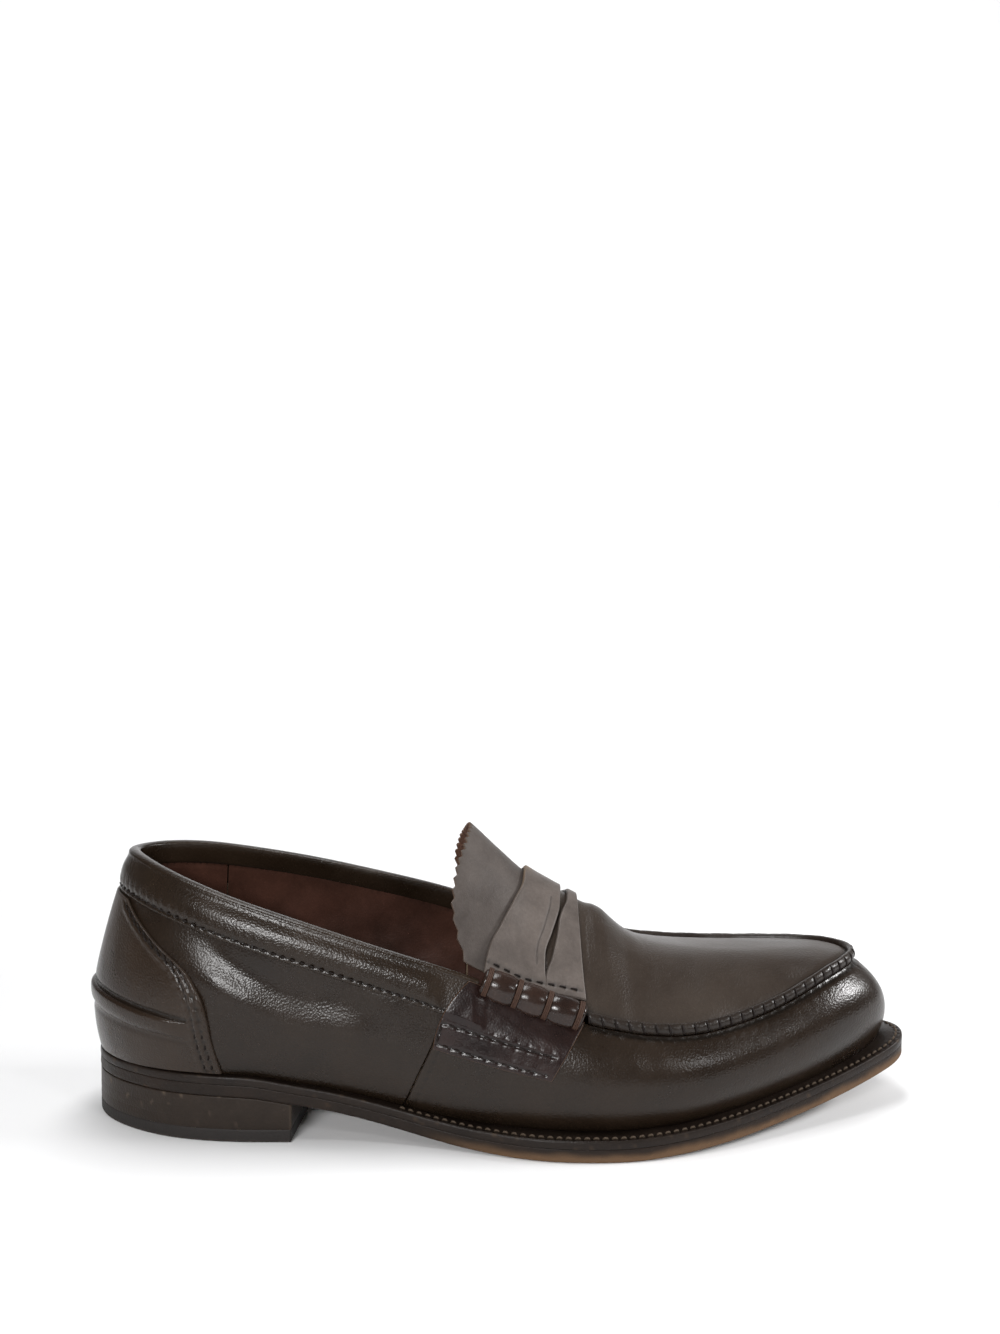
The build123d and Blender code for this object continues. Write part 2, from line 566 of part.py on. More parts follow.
def strap_seam(y0, y1, low, high):
    return sheet(instep_height, -9, 31, -38, 36, low, high, nx=26, ny=44) & Pos(
        11, (y0 + y1) / 2, 60) * Box(33, abs(y1 - y0), 110) & strap_prism


node["strap_stitching"] = Compound([strap_seam(-33.0, -33.6, -0.32, -0.02),
                                    strap_seam(30.6, 31.2, -0.32, -0.02)])

# Tongue with a pinked rear edge. It bends along the strap's rear edge.
rear_edge = steady_curve([-33, -30, -26, -20, -10, 0, 10, 20, 27, 31],
                         [-13.2, -15.8, -17.6, -16.6, -13.4, -11.8, -13.4, -16.6, -18.3, -17.5])
teeth = []
for k in range(53):
    y = -33 + 62.5 * k / 52
    teeth.append((float(rear_edge(y)) + (0.8 if k % 2 else -0.2), y))
front_of_tongue = [(-1, 30.2), (2, 27.2), (6, 22.5), (9, 18), (11, 15), (12.4, 12),
                   (12.4, -12), (11, -15), (9, -18), (6, -22.5), (2.5, -27.2), (-0.5, -31), (-2, -33.2)]
tongue_prism = cut_plan(teeth + front_of_tongue)
clear = STRAP + 0.45
node["tongue"] = sheet(instep_height, -24, 14, -34.5, 32, clear, clear + TONGUE, nx=26, ny=40) & tongue_prism

# ---- stand the shoe over the origin and write it ------------------------------------------------
everything = Compound([piece if isinstance(piece, Compound) else Compound([piece])
                       for piece in node.values()])
box = everything.bounding_box()
shift = Pos(-(box.min.X + box.max.X) / 2, -(box.min.Y + box.max.Y) / 2, -box.min.Z)
for name, piece in node.items():
    export_step(shift * piece, "parts/" + name + ".step")
print("box", box.size, "shift", -(box.min.X + box.max.X) / 2, -(box.min.Y + box.max.Y) / 2, -box.min.Z)
print("tongue hinge", HINGE[0] - (box.min.X + box.max.X) / 2, HINGE[1] - box.min.Z)
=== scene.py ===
import math
import bpy
import numpy as np
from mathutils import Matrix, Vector
from mathutils.kdtree import KDTree


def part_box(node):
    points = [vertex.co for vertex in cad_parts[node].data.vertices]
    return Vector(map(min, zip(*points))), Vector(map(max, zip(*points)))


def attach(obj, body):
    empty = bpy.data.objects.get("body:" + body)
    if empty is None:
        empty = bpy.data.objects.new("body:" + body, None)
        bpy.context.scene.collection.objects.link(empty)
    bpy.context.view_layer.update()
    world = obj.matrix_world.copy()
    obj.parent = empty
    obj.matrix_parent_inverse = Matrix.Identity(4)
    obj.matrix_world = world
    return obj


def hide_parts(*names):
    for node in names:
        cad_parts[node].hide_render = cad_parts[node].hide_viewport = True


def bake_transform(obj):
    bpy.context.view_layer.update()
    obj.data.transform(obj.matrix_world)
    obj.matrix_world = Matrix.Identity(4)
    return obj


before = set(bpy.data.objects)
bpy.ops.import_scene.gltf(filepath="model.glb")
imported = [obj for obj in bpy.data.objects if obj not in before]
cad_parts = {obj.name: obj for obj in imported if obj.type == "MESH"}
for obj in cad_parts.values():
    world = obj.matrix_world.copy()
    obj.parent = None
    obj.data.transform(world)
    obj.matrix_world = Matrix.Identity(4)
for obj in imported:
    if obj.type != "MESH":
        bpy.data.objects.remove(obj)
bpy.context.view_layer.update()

# ======== Floor, light and camera ========
# A pale floor that curves up into a backdrop, a wide soft light overhead, a weaker one in front
# on the left, and the camera low in front of the outer side of the shoe.
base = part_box("outsole")


def shader(name):
    mat = bpy.data.materials.new(name)
    mat.use_nodes = True
    return mat, mat.node_tree.nodes, mat.node_tree.links, mat.node_tree.nodes["Principled BSDF"]


run = [(-3.0, 0.0), (0.9, 0.0), (1.15, 0.02), (1.38, 0.09), (1.58, 0.22), (1.72, 0.40), (1.80, 0.62),
       (1.84, 0.9), (1.85, 3.2)]
ground = bpy.data.meshes.new("studio_floor")
ground.from_pydata([(x, y, z) for y, z in run for x in (-4.0, 4.0)], [],
                   [(2 * i, 2 * i + 1, 2 * i + 3, 2 * i + 2) for i in range(len(run) - 1)])
ground.polygons.foreach_set("use_smooth", [True] * len(ground.polygons))
floor = bpy.data.objects.new("studio_floor", ground)
bpy.context.collection.objects.link(floor)
floor_mat, nodes, links, bsdf = shader("floor_white")
bsdf.inputs["Base Color"].default_value = (0.86, 0.86, 0.865, 1)
bsdf.inputs["Roughness"].default_value = 0.75
bsdf.inputs["Specular IOR Level"].default_value = 0.15
ground.materials.append(floor_mat)

world = bpy.context.scene.world or bpy.data.worlds.new("studio")
bpy.context.scene.world = world
world.use_nodes = True
world.node_tree.nodes["Background"].inputs["Color"].default_value = (1.0, 1.0, 1.0, 1)
world.node_tree.nodes["Background"].inputs["Strength"].default_value = 0.13


def soft_light(name, place, aim, wide, deep, watts, colour=(1, 1, 1)):
    lamp = bpy.data.lights.new(name, "AREA")
    lamp.shape = "RECTANGLE"
    lamp.size = wide
    lamp.size_y = deep
    lamp.energy = watts
    lamp.color = colour
    obj = bpy.data.objects.new(name, lamp)
    bpy.context.collection.objects.link(obj)
    obj.location = place
    direction = Vector([a - b for a, b in zip(aim, place)])
    obj.rotation_euler = direction.to_track_quat("-Z", "Y").to_euler()
    return obj


soft_light("overhead_light", (-0.05, 0.02, 1.20), (0.0, 0.0, 0.05), 0.85, 0.30, 8.5)
soft_light("front_light", (-0.36, -1.10, 0.54), (-0.03, 0.0, 0.05), 0.42, 0.11, 9.5)
soft_light("toe_light", (0.98, -0.02, 0.52), (0.12, 0.0, 0.03), 0.30, 0.10, 7.5)
soft_light("side_light", (0.80, -0.85, 0.62), (0.12, 0.0, 0.03), 0.10, 0.10, 1.8)
soft_light("backdrop_light", (0.0, 0.75, 1.3), (0.0, 1.85, 0.75), 2.4, 0.8, 26)
# Plain tones: the floor goes to white and the dark leather keeps its depth.
bpy.context.scene.view_settings.view_transform = "Standard"

camera = bpy.data.cameras.new("camera")
camera.sensor_fit = "AUTO"
camera.sensor_width = 36.0
camera.lens = 31.03
camera_object = bpy.data.objects.new("camera", camera)
bpy.context.collection.objects.link(camera_object)
bpy.context.scene.camera = camera_object

# ======== Outsole ========
# One sheet of hard leather from heel to toe. It lies on the floor at the ball, rises in the waist
# and springs up at the toe. Its edge is stained dark and waxed, and worn to bare brown below.
OUTLINE = [(-148.6, 0), (-143, -13), (-132, -22.5), (-118, -29.6), (-103, -33.4), (-87, -34.8),
           (-69, -34.8), (-45, -35.8), (-20, -40.2), (4, -46.8), (21, -49.8), (39, -49.8), (58, -46.2),
           (80, -37.8), (103, -26.4), (122, -16.6), (138, -7.2), (147.5, 0.2), (151, 9.5), (148.5, 20),
           (141, 29.5), (126, 39), (104, 46), (78, 49.2), (50, 47.4), (20, 39.5), (-10, 31.5),
           (-40, 28.8), (-68, 31.2), (-88, 33.8), (-104, 33.2), (-119, 29.4), (-132.5, 22), (-143, 12.6)]
BOTTOM = [(-156, 16.2), (-120, 16.0), (-90, 15.5), (-70, 12.7), (-60, 11.0), (-50, 8.9), (-37, 5.9),
          (-23, 2.9), (-9, 0.9), (5, 0.12), (18, 0.0), (38, 0.0), (58, 0.8), (80, 2.6), (103, 5.8),
          (123, 9.6), (142, 14.0), (156, 18.2)]
WELT = 2.8


def closed_spline(values):
    """Smooth closed curve through values at 0, 1, 2 ..."""
    values = np.array(values, float)
    count = len(values)
    matrix = 4 * np.eye(count) + np.roll(np.eye(count), 1, 1) + np.roll(np.eye(count), -1, 1)
    bend = np.linalg.solve(matrix, 6 * (np.roll(values, -1) - 2 * values + np.roll(values, 1)))

    def at(u):
        u = np.asarray(u, float) % count
        i = np.floor(u).astype(int) % count
        j = (i + 1) % count
        f = u - np.floor(u)
        a = 1 - f
        return a * values[i] + f * values[j] + ((a ** 3 - a) * bend[i] + (f ** 3 - f) * bend[j]) / 6

    return at


def steady_curve(xs, ys):
    """Curve through the points that never overshoots them."""
    xs = np.array(xs, float)
    ys = np.array(ys, float)
    step = np.diff(xs)
    rise = np.diff(ys) / step
    slope = np.zeros(len(xs))
    slope[0] = rise[0]
    slope[-1] = rise[-1]
    for i in range(1, len(xs) - 1):
        if rise[i - 1] * rise[i] > 0:
            slope[i] = 2 * rise[i - 1] * rise[i] / (rise[i - 1] + rise[i])

    def at(x):
        x = np.clip(np.asarray(x, float), xs[0], xs[-1])
        i = np.clip(np.searchsorted(xs, x, side="right") - 1, 0, len(xs) - 2)
        w = step[i]
        f = (x - xs[i]) / w
        keep = (1 + 2 * f) * (1 - f) ** 2 * ys[i] + f * f * (3 - 2 * f) * ys[i + 1]
        return keep + w * (f * (1 - f) ** 2 * slope[i] + f * f * (f - 1) * slope[i + 1])

    return at


bottom = steady_curve([p[0] for p in BOTTOM], [p[1] for p in BOTTOM])
edge_height = steady_curve([-156, -90, -60, -25, 5, 40, 156], [7.0, 7.0, 6.7, 6.9, 7.4, 7.4, 7.6])
outline_x = closed_spline([p[0] for p in OUTLINE])
outline_y = closed_spline([p[1] for p in OUTLINE])
loop = np.linspace(0, len(OUTLINE), 4000)
# The model is drawn in millimetres from a point under the ankle. This is where that point stands.
SHIFT = np.array([base[0].x * 1000 - outline_x(loop).min(), base[0].y * 1000 - outline_y(loop).min(),
                  base[0].z * 1000])
camera_object.location = ((-1.0 + SHIFT[0]) / 1000, (-422.0 + SHIFT[1]) / 1000, 0.178)
camera_object.rotation_euler = (math.radians(87.8), 0, 0)


def welt_top(x):
    return bottom(x) + edge_height(x)


def outward(cx, cy, u):
    dx = cx(u + 0.02) - cx(u - 0.02)
    dy = cy(u + 0.02) - cy(u - 0.02)
    size = np.hypot(dx, dy)
    return dy / size, -dx / size


def even(cx, cy, u0, u1, step):
    """Station numbers spaced evenly along a curve seen from above."""
    u = np.linspace(u0, u1, 4000)
    far = np.concatenate([[0], np.cumsum(np.hypot(np.diff(cx(u)), np.diff(cy(u))))])
    count = max(3, int(round(far[-1] / step)) + 1)
    here = np.linspace(0, far[-1], count)
    return np.interp(here, far, u), here


def smooth(a, b, x):
    t = np.clip((x - a) / (b - a), 0, 1)
    return t * t * (3 - 2 * t)


def ripple(p, size, seed, layers=5):
    """Soft unevenness, from -1 to 1, that changes over about size millimetres."""
    rng = np.random.default_rng(seed)
    total = np.zeros(p.shape[:-1])
    for _ in range(layers):
        way = rng.normal(size=3)
        way = way / np.linalg.norm(way) / size * rng.uniform(0.6, 1.6) * 2 * np.pi
        total = total + np.sin(p @ way + rng.uniform(0, 6.28))
    return total / layers


def skin(name, grid, mats, marks=None, around=False, rows=None, smooth_faces=True):
    """Mesh over a grid of points in millimetres. marks are values stored on the points."""
    n, m = grid.shape[:2]
    points = (grid.reshape(-1, 3) + SHIFT) / 1000
    index = np.arange(n * m).reshape(n, m)
    nxt = np.roll(index, -1, 0) if around else index[1:]
    cur = index if around else index[:-1]
    faces = np.stack([cur[:, :-1], nxt[:, :-1], nxt[:, 1:], cur[:, 1:]], -1).reshape(-1, 4)
    mesh = bpy.data.meshes.new(name)
    mesh.vertices.add(len(points))
    mesh.vertices.foreach_set("co", points.ravel())
    mesh.loops.add(faces.size)
    mesh.loops.foreach_set("vertex_index", faces.ravel())
    mesh.polygons.add(len(faces))
    mesh.polygons.foreach_set("loop_start", np.arange(0, faces.size, 4))
    mesh.polygons.foreach_set("use_smooth", [smooth_faces] * len(faces))
    if rows is not None:
        mesh.polygons.foreach_set("material_index", np.tile(np.array(rows), len(cur)))
    for mat in mats:
        mesh.materials.append(mat)
    for key, value in (marks or {}).items():
        attribute = mesh.attributes.new(key, "FLOAT", "POINT")
        attribute.data.foreach_set("value", np.broadcast_to(value, (n, m)).astype(np.float32).ravel())
    mesh.update()
    mesh.validate()
    obj = bpy.data.objects.new(name, mesh)
    bpy.context.collection.objects.link(obj)
    return obj


def put(obj, slot, *nodes, body="shoe"):
    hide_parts(*nodes)
    if body:
        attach(obj, body)
    return obj


def leather(name, tone, deep, second, rough, grain=0.35, patch=45.0, coat=0.0, shine=0.29, bump=0.00012,
            mark_colour=(0.004, 0.003, 0.002)):
    """Tanned hide: uneven colour, a fine grain, and marks for cut edges and stitch holes.
    The point value 'edge' turns it to the second colour, and 'dark' to a shadowed colour."""
    mat, nodes, links, bsdf = shader(name)
    place = nodes.new("ShaderNodeTexCoord")
    cloud = nodes.new("ShaderNodeTexNoise")
    cloud.inputs["Scale"].default_value = patch
    cloud.inputs["Detail"].default_value = 5
    cloud.inputs["Roughness"].default_value = 0.62
    fine = nodes.new("ShaderNodeTexNoise")
    fine.inputs["Scale"].default_value = 900
    fine.inputs["Detail"].default_value = 3
    cells = nodes.new("ShaderNodeTexVoronoi")
    cells.inputs["Scale"].default_value = 1500
    cells.feature = "SMOOTH_F1"
    cells.inputs["Smoothness"].default_value = 0.6
    for tex in (cloud, fine, cells):
        links.new(place.outputs["Object"], tex.inputs["Vector"])
    ramp = nodes.new("ShaderNodeValToRGB")
    ramp.color_ramp.elements[0].position = 0.32
    ramp.color_ramp.elements[0].color = (*deep, 1)
    ramp.color_ramp.elements[1].position = 0.70
    ramp.color_ramp.elements[1].color = (*tone, 1)
    links.new(cloud.outputs["Fac"], ramp.inputs["Fac"])
    speck = nodes.new("ShaderNodeMix")
    speck.data_type = "RGBA"
    speck.blend_type = "MULTIPLY"
    links.new(fine.outputs["Fac"], speck.inputs[0])
    links.new(ramp.outputs["Color"], speck.inputs[6])
    speck.inputs[7].default_value = (0.72, 0.70, 0.68, 1)
    edge = nodes.new("ShaderNodeAttribute")
    edge.attribute_name = "edge"
    bare = nodes.new("ShaderNodeMix")
    bare.data_type = "RGBA"
    links.new(edge.outputs["Fac"], bare.inputs[0])
    links.new(speck.outputs[2], bare.inputs[6])
    bare.inputs[7].default_value = (*second, 1)
    hole = nodes.new("ShaderNodeAttribute")
    hole.attribute_name = "dark"
    sunk = nodes.new("ShaderNodeMix")
    sunk.data_type = "RGBA"
    links.new(hole.outputs["Fac"], sunk.inputs[0])
    links.new(bare.outputs[2], sunk.inputs[6])
    sunk.inputs[7].default_value = (*mark_colour, 1)
    links.new(sunk.outputs[2], bsdf.inputs["Base Color"])
    gloss = nodes.new("ShaderNodeMapRange")
    gloss.inputs["From Min"].default_value = 0.3
    gloss.inputs["From Max"].default_value = 0.7
    gloss.inputs["To Min"].default_value = rough - 0.06
    gloss.inputs["To Max"].default_value = rough + 0.08
    links.new(cloud.outputs["Fac"], gloss.inputs["Value"])
    dull = nodes.new("ShaderNodeMath")
    dull.operation = "MULTIPLY_ADD"
    links.new(edge.outputs["Fac"], dull.inputs[0])
    dull.inputs[1].default_value = 0.3
    links.new(gloss.outputs["Result"], dull.inputs[2])
    links.new(dull.outputs["Value"], bsdf.inputs["Roughness"])
    both = nodes.new("ShaderNodeMath")
    both.operation = "MULTIPLY_ADD"
    links.new(fine.outputs["Fac"], both.inputs[0])
    both.inputs[1].default_value = 0.6
    links.new(cells.outputs["Distance"], both.inputs[2])
    relief = nodes.new("ShaderNodeBump")
    relief.inputs["Strength"].default_value = grain
    relief.inputs["Distance"].default_value = bump
    links.new(both.outputs["Value"], relief.inputs["Height"])
    links.new(relief.outputs["Normal"], bsdf.inputs["Normal"])
    bsdf.inputs["Specular IOR Level"].default_value = shine
    bsdf.inputs["Coat Weight"].default_value = coat
    bsdf.inputs["Coat Roughness"].default_value = 0.25
    return mat


edge_paint = leather("sole_edge_paint", (0.022, 0.0135, 0.009), (0.011, 0.007, 0.005), (0.135, 0.078, 0.042),
                     0.42,
                     grain=0.5, patch=70, bump=0.00018, shine=0.2)
sole_face = leather("sole_walking_face", (0.13, 0.082, 0.05), (0.055, 0.036, 0.024), (0.02, 0.014, 0.01),
                    0.62,
                    grain=0.6, patch=35, bump=0.0003)
spine_y = steady_curve([-112, -40, 0, 30, 70, 108], [0, -3.4, -5.5, -3.0, 4.5, 9.5])
u, arc = even(outline_x, outline_y, 0, len(OUTLINE), 0.8)
u = u[:-1]
nx, ny = outward(outline_x, outline_y, u)
ox = outline_x(u)
oy = outline_y(u)
rows = []
marks = []
for share in (0.0, 0.35, 0.65, 0.85):
    mx = np.clip(ox, -112, 108)
    my = spine_y(mx)
    x = mx + (ox - mx) * share
    y = my + (oy - my) * share
    rows.append(np.stack([x, y, bottom(x)], -1))
    marks.append(np.zeros_like(x))
for out, up, mark in ((-5.3, 0, 0), (-5.1, 0.45, 0.8), (-4.5, 0.45, 0.8), (-4.3, 0, 0), (-2.0, 0.0, 0),
                      (-0.8, 0.02, 0),
                      (-0.3, 0.16, 0.1), (-0.05, 0.5, 0.2), (0.05, 1.0, 0.3), (0.05, 1.6, 0.3),
                      (0.03, 2.4, 0.1),
                      (0.02, 3.2, 0), (0.0, 3.9, 0), (0.0, 4.4, 0), (-0.12, 4.59, 0), (-1.2, 4.6, 0)):
    height = up * (edge_height(ox) - WELT) / 4.6
    uneven = ripple(np.stack([ox, oy, ox * 0 + up * 3], -1), 9, 3) * 0.05 if 0 < up < 4.5 else 0
    x = ox + nx * (out + uneven)
    rows.append(np.stack([x, oy + ny * (out + uneven), bottom(x) + height], -1))
    marks.append(np.full_like(x, mark))
grid = np.stack(rows, 1)
mark = np.stack(marks, 1)
level = (grid[..., 2] - bottom(grid[..., 0])) / 4.6
fore = smooth(-32, 4, grid[..., 0])
wander = ripple(grid * np.array([1, 1, 0.2]), 22, 5) * 0.16 + ripple(grid, 6, 6) * 0.10
worn = fore * smooth(0.88 + wander, 0.22 + wander, level) * 0.9
chips = np.clip(ripple(grid, 3.5, 8) * 1.6 - 0.9, 0, 1) * 0.7 * smooth(0.9, 0.3, level)
side = np.arange(grid.shape[1]) >= 10
outsole = skin("outsole", grid, [sole_face, edge_paint],
               {"edge": np.where(side[None, :], np.clip(worn + chips, 0, 1), mark), "dark": mark * 0},
               around=True, rows=[0] * 9 + [1] * (grid.shape[1] - 10))
put(outsole, "sole_leather", "outsole", "outsole_stitching")

# ======== Welt, heel rand and their stitching ========
# A leather strip sewn round the upper above the outsole. A fudge wheel has pressed a notch between
# each two lock stitches. Behind the heel breast the rand carries it on, plain.
welt_paint = leather("welt_paint", (0.022, 0.0145, 0.0105), (0.011, 0.0072, 0.0055), (0.11, 0.07, 0.042),
                     0.40,
                     grain=0.45, patch=90, bump=0.00014, shine=0.2)
thread_dark, nodes, links, bsdf = shader("waxed_thread")
bsdf.inputs["Base Color"].default_value = (0.030, 0.021, 0.016, 1)
bsdf.inputs["Roughness"].default_value = 0.6
bsdf.inputs["Specular IOR Level"].default_value = 0.2
twist = nodes.new("ShaderNodeTexNoise")
twist.inputs["Scale"].default_value = 3500
place = nodes.new("ShaderNodeTexCoord")
links.new(place.outputs["Object"], twist.inputs["Vector"])
relief = nodes.new("ShaderNodeBump")
relief.inputs["Strength"].default_value = 0.6
relief.inputs["Distance"].default_value = 0.0001
links.new(twist.outputs["Fac"], relief.inputs["Height"])
links.new(relief.outputs["Normal"], bsdf.inputs["Normal"])
thread_pale = thread_dark.copy()
thread_pale.name = "welt_thread"
thread_pale.node_tree.nodes["Principled BSDF"].inputs["Base Color"].default_value = (0.075, 0.054, 0.038, 1)


def stitches(line, normal, pitch, length, radius, lift=0.0, start=0.5, slant=0.0):
    """Grids of single stitches along a line of points. Each is a bent capsule that dips at its ends."""
    far = np.concatenate([[0], np.cumsum(np.linalg.norm(np.diff(line, axis=0), axis=1))])
    count = int(far[-1] / pitch)
    centre = (np.arange(count) + start) * pitch
    ring = np.linspace(0, 2 * np.pi, 7)[:-1]
    k = np.linspace(-1, 1, 7)
    out = []
    for c in centre:
        if c + length / 2 > far[-1] or c - length / 2 < 0:
            continue
        here = c + k * length / 2
        spot = np.stack([np.interp(here, far, line[:, i]) for i in range(3)], -1)
        up = np.stack([np.interp(here, far, normal[:, i]) for i in range(3)], -1)
        up = up / np.linalg.norm(up, axis=1, keepdims=True)
        way = np.gradient(spot, axis=0)
        way = way / np.linalg.norm(way, axis=1, keepdims=True)
        side = np.cross(way, up)
        spot = spot + side * (slant * k)[:, None]
        fat = radius * np.sqrt(np.clip(1 - np.abs(k) ** 4, 0.02, 1))
        rise = lift + radius * 0.55 - radius * 1.5 * np.abs(k) ** 3
        body = (spot + up * rise[:, None])[:, None, :] + fat[:, None, None] * (
            np.cos(ring)[None, :, None] * up[:, None, :] + np.sin(ring)[None, :, None] * side[:, None, :])
        out.append(body)
    return out


def thread_mesh(name, parts, mat):
    """One mesh of many small closed tubes."""
    verts = []
    faces = []
    count = 0
    for body in parts:
        n, m = body.shape[:2]
        verts.append(body.reshape(-1, 3))
        for i in range(n - 1):
            for j in range(m):
                a = count + i * m + j
                b = count + i * m + (j + 1) % m
                faces.append((a, b, b + m, a + m))
        faces.append(tuple(count + j for j in range(m))[::-1])
        faces.append(tuple(count + (n - 1) * m + j for j in range(m)))
        count += n * m
    points = (np.concatenate(verts) + SHIFT) / 1000
    mesh = bpy.data.meshes.new(name)
    mesh.from_pydata(points.tolist(), [], faces)
    mesh.polygons.foreach_set("use_smooth", [True] * len(mesh.polygons))
    mesh.materials.append(mat)
    obj = bpy.data.objects.new(name, mesh)
    bpy.context.collection.objects.link(obj)
    return obj


FUDGE_PITCH = 3.05


def welt_ring(name, u0, u1, notch_on):
    u, arc = even(outline_x, outline_y, u0, u1, 0.42)
    nx, ny = outward(outline_x, outline_y, u)
    rows = []
    marks = []
    notch = (0.5 + 0.5 * np.cos(2 * np.pi * arc / FUDGE_PITCH)) ** 5
    fade = notch_on(outline_x(u))
    for out, up, cut in ((-9.0, -0.2, 0), (-4.2, 0.0, 0), (-3.3, 0.0, 0), (-3.0, 0.0, 0.5), (-2.4, 0, 1),
                         (-1.8, 0, 1),
                         (-1.2, 0, 1), (-0.8, 0.02, 0.6), (-0.45, 0.06, 0), (-0.2, -0.04, 0), (0.0, -0.3, 0),
                         (0.1, -0.8, 0), (0.12, -1.5, 0), (0.08, -2.3, 0), (0.0, -2.72, 0), (-0.3, -2.8, 0)):
        x = outline_x(u) + nx * out
        y = outline_y(u) + ny * out
        rows.append(np.stack([x, y, welt_top(outline_x(u)) + up - 0.34 * cut * notch * fade], -1))
        # Each pressed notch is also painted darker: painted shade in the notch.
        marks.append(cut * notch * fade * 0.8)
    grid = np.stack(rows, 1)
    wear = np.clip(ripple(grid, 5, 12) * 1.2 - 0.55, 0, 1) * 0.5
    return skin(name, grid, [welt_paint], {"edge": wear * (np.arange(16)[None, :] > 7),
                                           "dark": np.stack(marks, 1)})


breast = [(-75.2, -80), (-66.4, 80)]


def heel_side(x, y):
    """Distance in front of the heel breast line, negative over the heel."""
    return x - (breast[0][0] + (y + 80) / 160 * (breast[1][0] - breast[0][0]))


ahead = heel_side(outline_x(loop), outline_y(loop)) > 0
u_front = loop[ahead][0]
u_end = loop[ahead][-1]
put(welt_ring("welt", u_front, u_end, lambda x: smooth(-40, -20, x)), "sole_leather", "welt")
put(welt_ring("heel_rand", u_end - len(OUTLINE) + 0.001, u_front - 0.001, lambda x: x * 0), "sole_leather",
    "heel_rand")
u, arc = even(outline_x, outline_y, u_front, u_end, 0.5)
keep = outline_x(u) > -38
u = u[keep]
nx, ny = outward(outline_x, outline_y, u)
line = np.stack([outline_x(u) - 2.1 * nx, outline_y(u) - 2.1 * ny, welt_top(outline_x(u))], -1)
first = arc[keep][0]
start = (math.ceil(first / FUDGE_PITCH) * FUDGE_PITCH - first) / FUDGE_PITCH + 0.5
put(thread_mesh("welt_stitching", stitches(line, np.tile([0, 0, 1.0], (len(u), 1)), FUDGE_PITCH, 2.3, 0.42,
                                           0.02, start),
                thread_pale), "thread", "welt_stitching")

# ======== Heel ========
# Three leather lifts and a rubber top piece, trimmed flush, painted and waxed, with scuffs where
# the heel has knocked against things. The nails stand a hair under the worn face.
TOP_PIECE = 4.5
LIFT = 3.5
u, arc = even(outline_x, outline_y, u_end - len(OUTLINE), u_front, 0.6)
nx, ny = outward(outline_x, outline_y, u)
arc_points = np.stack([outline_x(u), outline_y(u)], -1)
count = 90
back = np.linspace(0, 1, count)[1:-1, None]
across = arc_points[-1] * (1 - back) + arc_points[0] * back
plan = np.concatenate([arc_points, across])
away = np.concatenate([np.stack([nx, ny], -1), np.tile([0.9985, -0.055], (len(across), 1))])
for i in range(10):
    away = (np.roll(away, 1, 0) + away * 2 + np.roll(away, -1, 0)) / 4
away = away / np.linalg.norm(away, axis=1, keepdims=True)
rows = []
marks = []
seams = [TOP_PIECE + 2 * LIFT, TOP_PIECE + LIFT]
top = bottom(plan[:, 0])


def heel_row(z, out):
    uneven = ripple(np.stack([plan[:, 0], plan[:, 1], z * np.ones(len(plan)) * 2], -1), 8, 21) * 0.06
    spot = plan + away * (out - 0.1 + uneven[:, None])
    rows.append(np.stack([spot[:, 0], spot[:, 1], np.minimum(z, top)], -1))


heel_row(99, -0.6)
heel_row(top - 0.04, 0.0)
heel_row(top - 0.4, 0.05)
heel_row((top * 0.6 + seams[0] * 0.4), 0.05)
heel_row((top * 0.25 + seams[0] * 0.75), 0.05)
for z in seams:
    for dz, out in ((0.3, 0.05), (0.12, 0.04), (0.0, 0.01), (-0.12, 0.04), (-0.3, 0.05), (-1.6, 0.06)):
        heel_row(z + dz, out)
heel_row(TOP_PIECE + 0.3, 0.04)
heel_row(TOP_PIECE + 0.02, -0.04)
grid = np.stack(rows, 1)
heel_paint = leather("heel_paint", (0.030, 0.0205, 0.0145), (0.018, 0.012, 0.0085), (0.13, 0.095, 0.07),
                     0.40,
                     grain=0.5, patch=60, bump=0.00016, shine=0.2)
scuff = np.clip(ripple(grid * np.array([1, 1, 2.2]), 4.0, 31) * 2.0 - 1.15, 0, 1) * 0.8
corner = np.exp(-((np.arange(len(plan))[:, None] - len(arc_points)) / 1.3) ** 2) * 0.6
heel = skin("heel_lifts", grid, [heel_paint], {"edge": np.clip(scuff + corner, 0, 1),
                                               "dark": grid[..., 0] * 0}, around=True)
put(heel, "sole_leather", "heel_lift_1", "heel_lift_2", "heel_lift_3")

rubber = leather("heel_rubber", (0.026, 0.022, 0.020), (0.018, 0.015, 0.014), (0.075, 0.06, 0.05), 0.6,
                 grain=0.4, patch=60, bump=0.0002)
rows = []
for z, out in ((4.46, -0.1), (4.3, 0.03), (3.9, 0.05), (2.6, 0.06), (1.2, 0.04), (0.55, -0.02), (0.18, -0.2),
               (0.02, -0.7),
               (0.0, -2.0)):
    spot = plan + away * (out - 0.1)
    rows.append(np.stack([spot[:, 0], spot[:, 1], np.full(len(plan), z)], -1))
for share in (0.8, 0.5, 0.2, 0.0):
    spine = np.stack([np.clip(plan[:, 0], -122, -84), plan[:, 1] * 0], -1)
    spot = spine + (plan - away * 2 - spine) * share
    rows.append(np.stack([spot[:, 0], spot[:, 1], np.zeros(len(plan))], -1))
grid = np.stack(rows, 1)
worn = smooth(1.3, 0.2, grid[..., 2]) * (0.5 + 0.5 * ripple(grid, 9, 41))
put(skin("heel_top_piece", grid, [rubber], {"edge": np.clip(worn, 0, 1) * 0.7, "dark": grid[..., 0] * 0},
         around=True),
    "heel_rubber", "heel_top_piece")

# ======== Nails, shank, cork, boards and insole ========
# The hard parts inside the bottom: brass and steel nails, the steel shank under its board, cork
# filling in front of it and the leather insole that the welt is sewn to. They keep their solids.


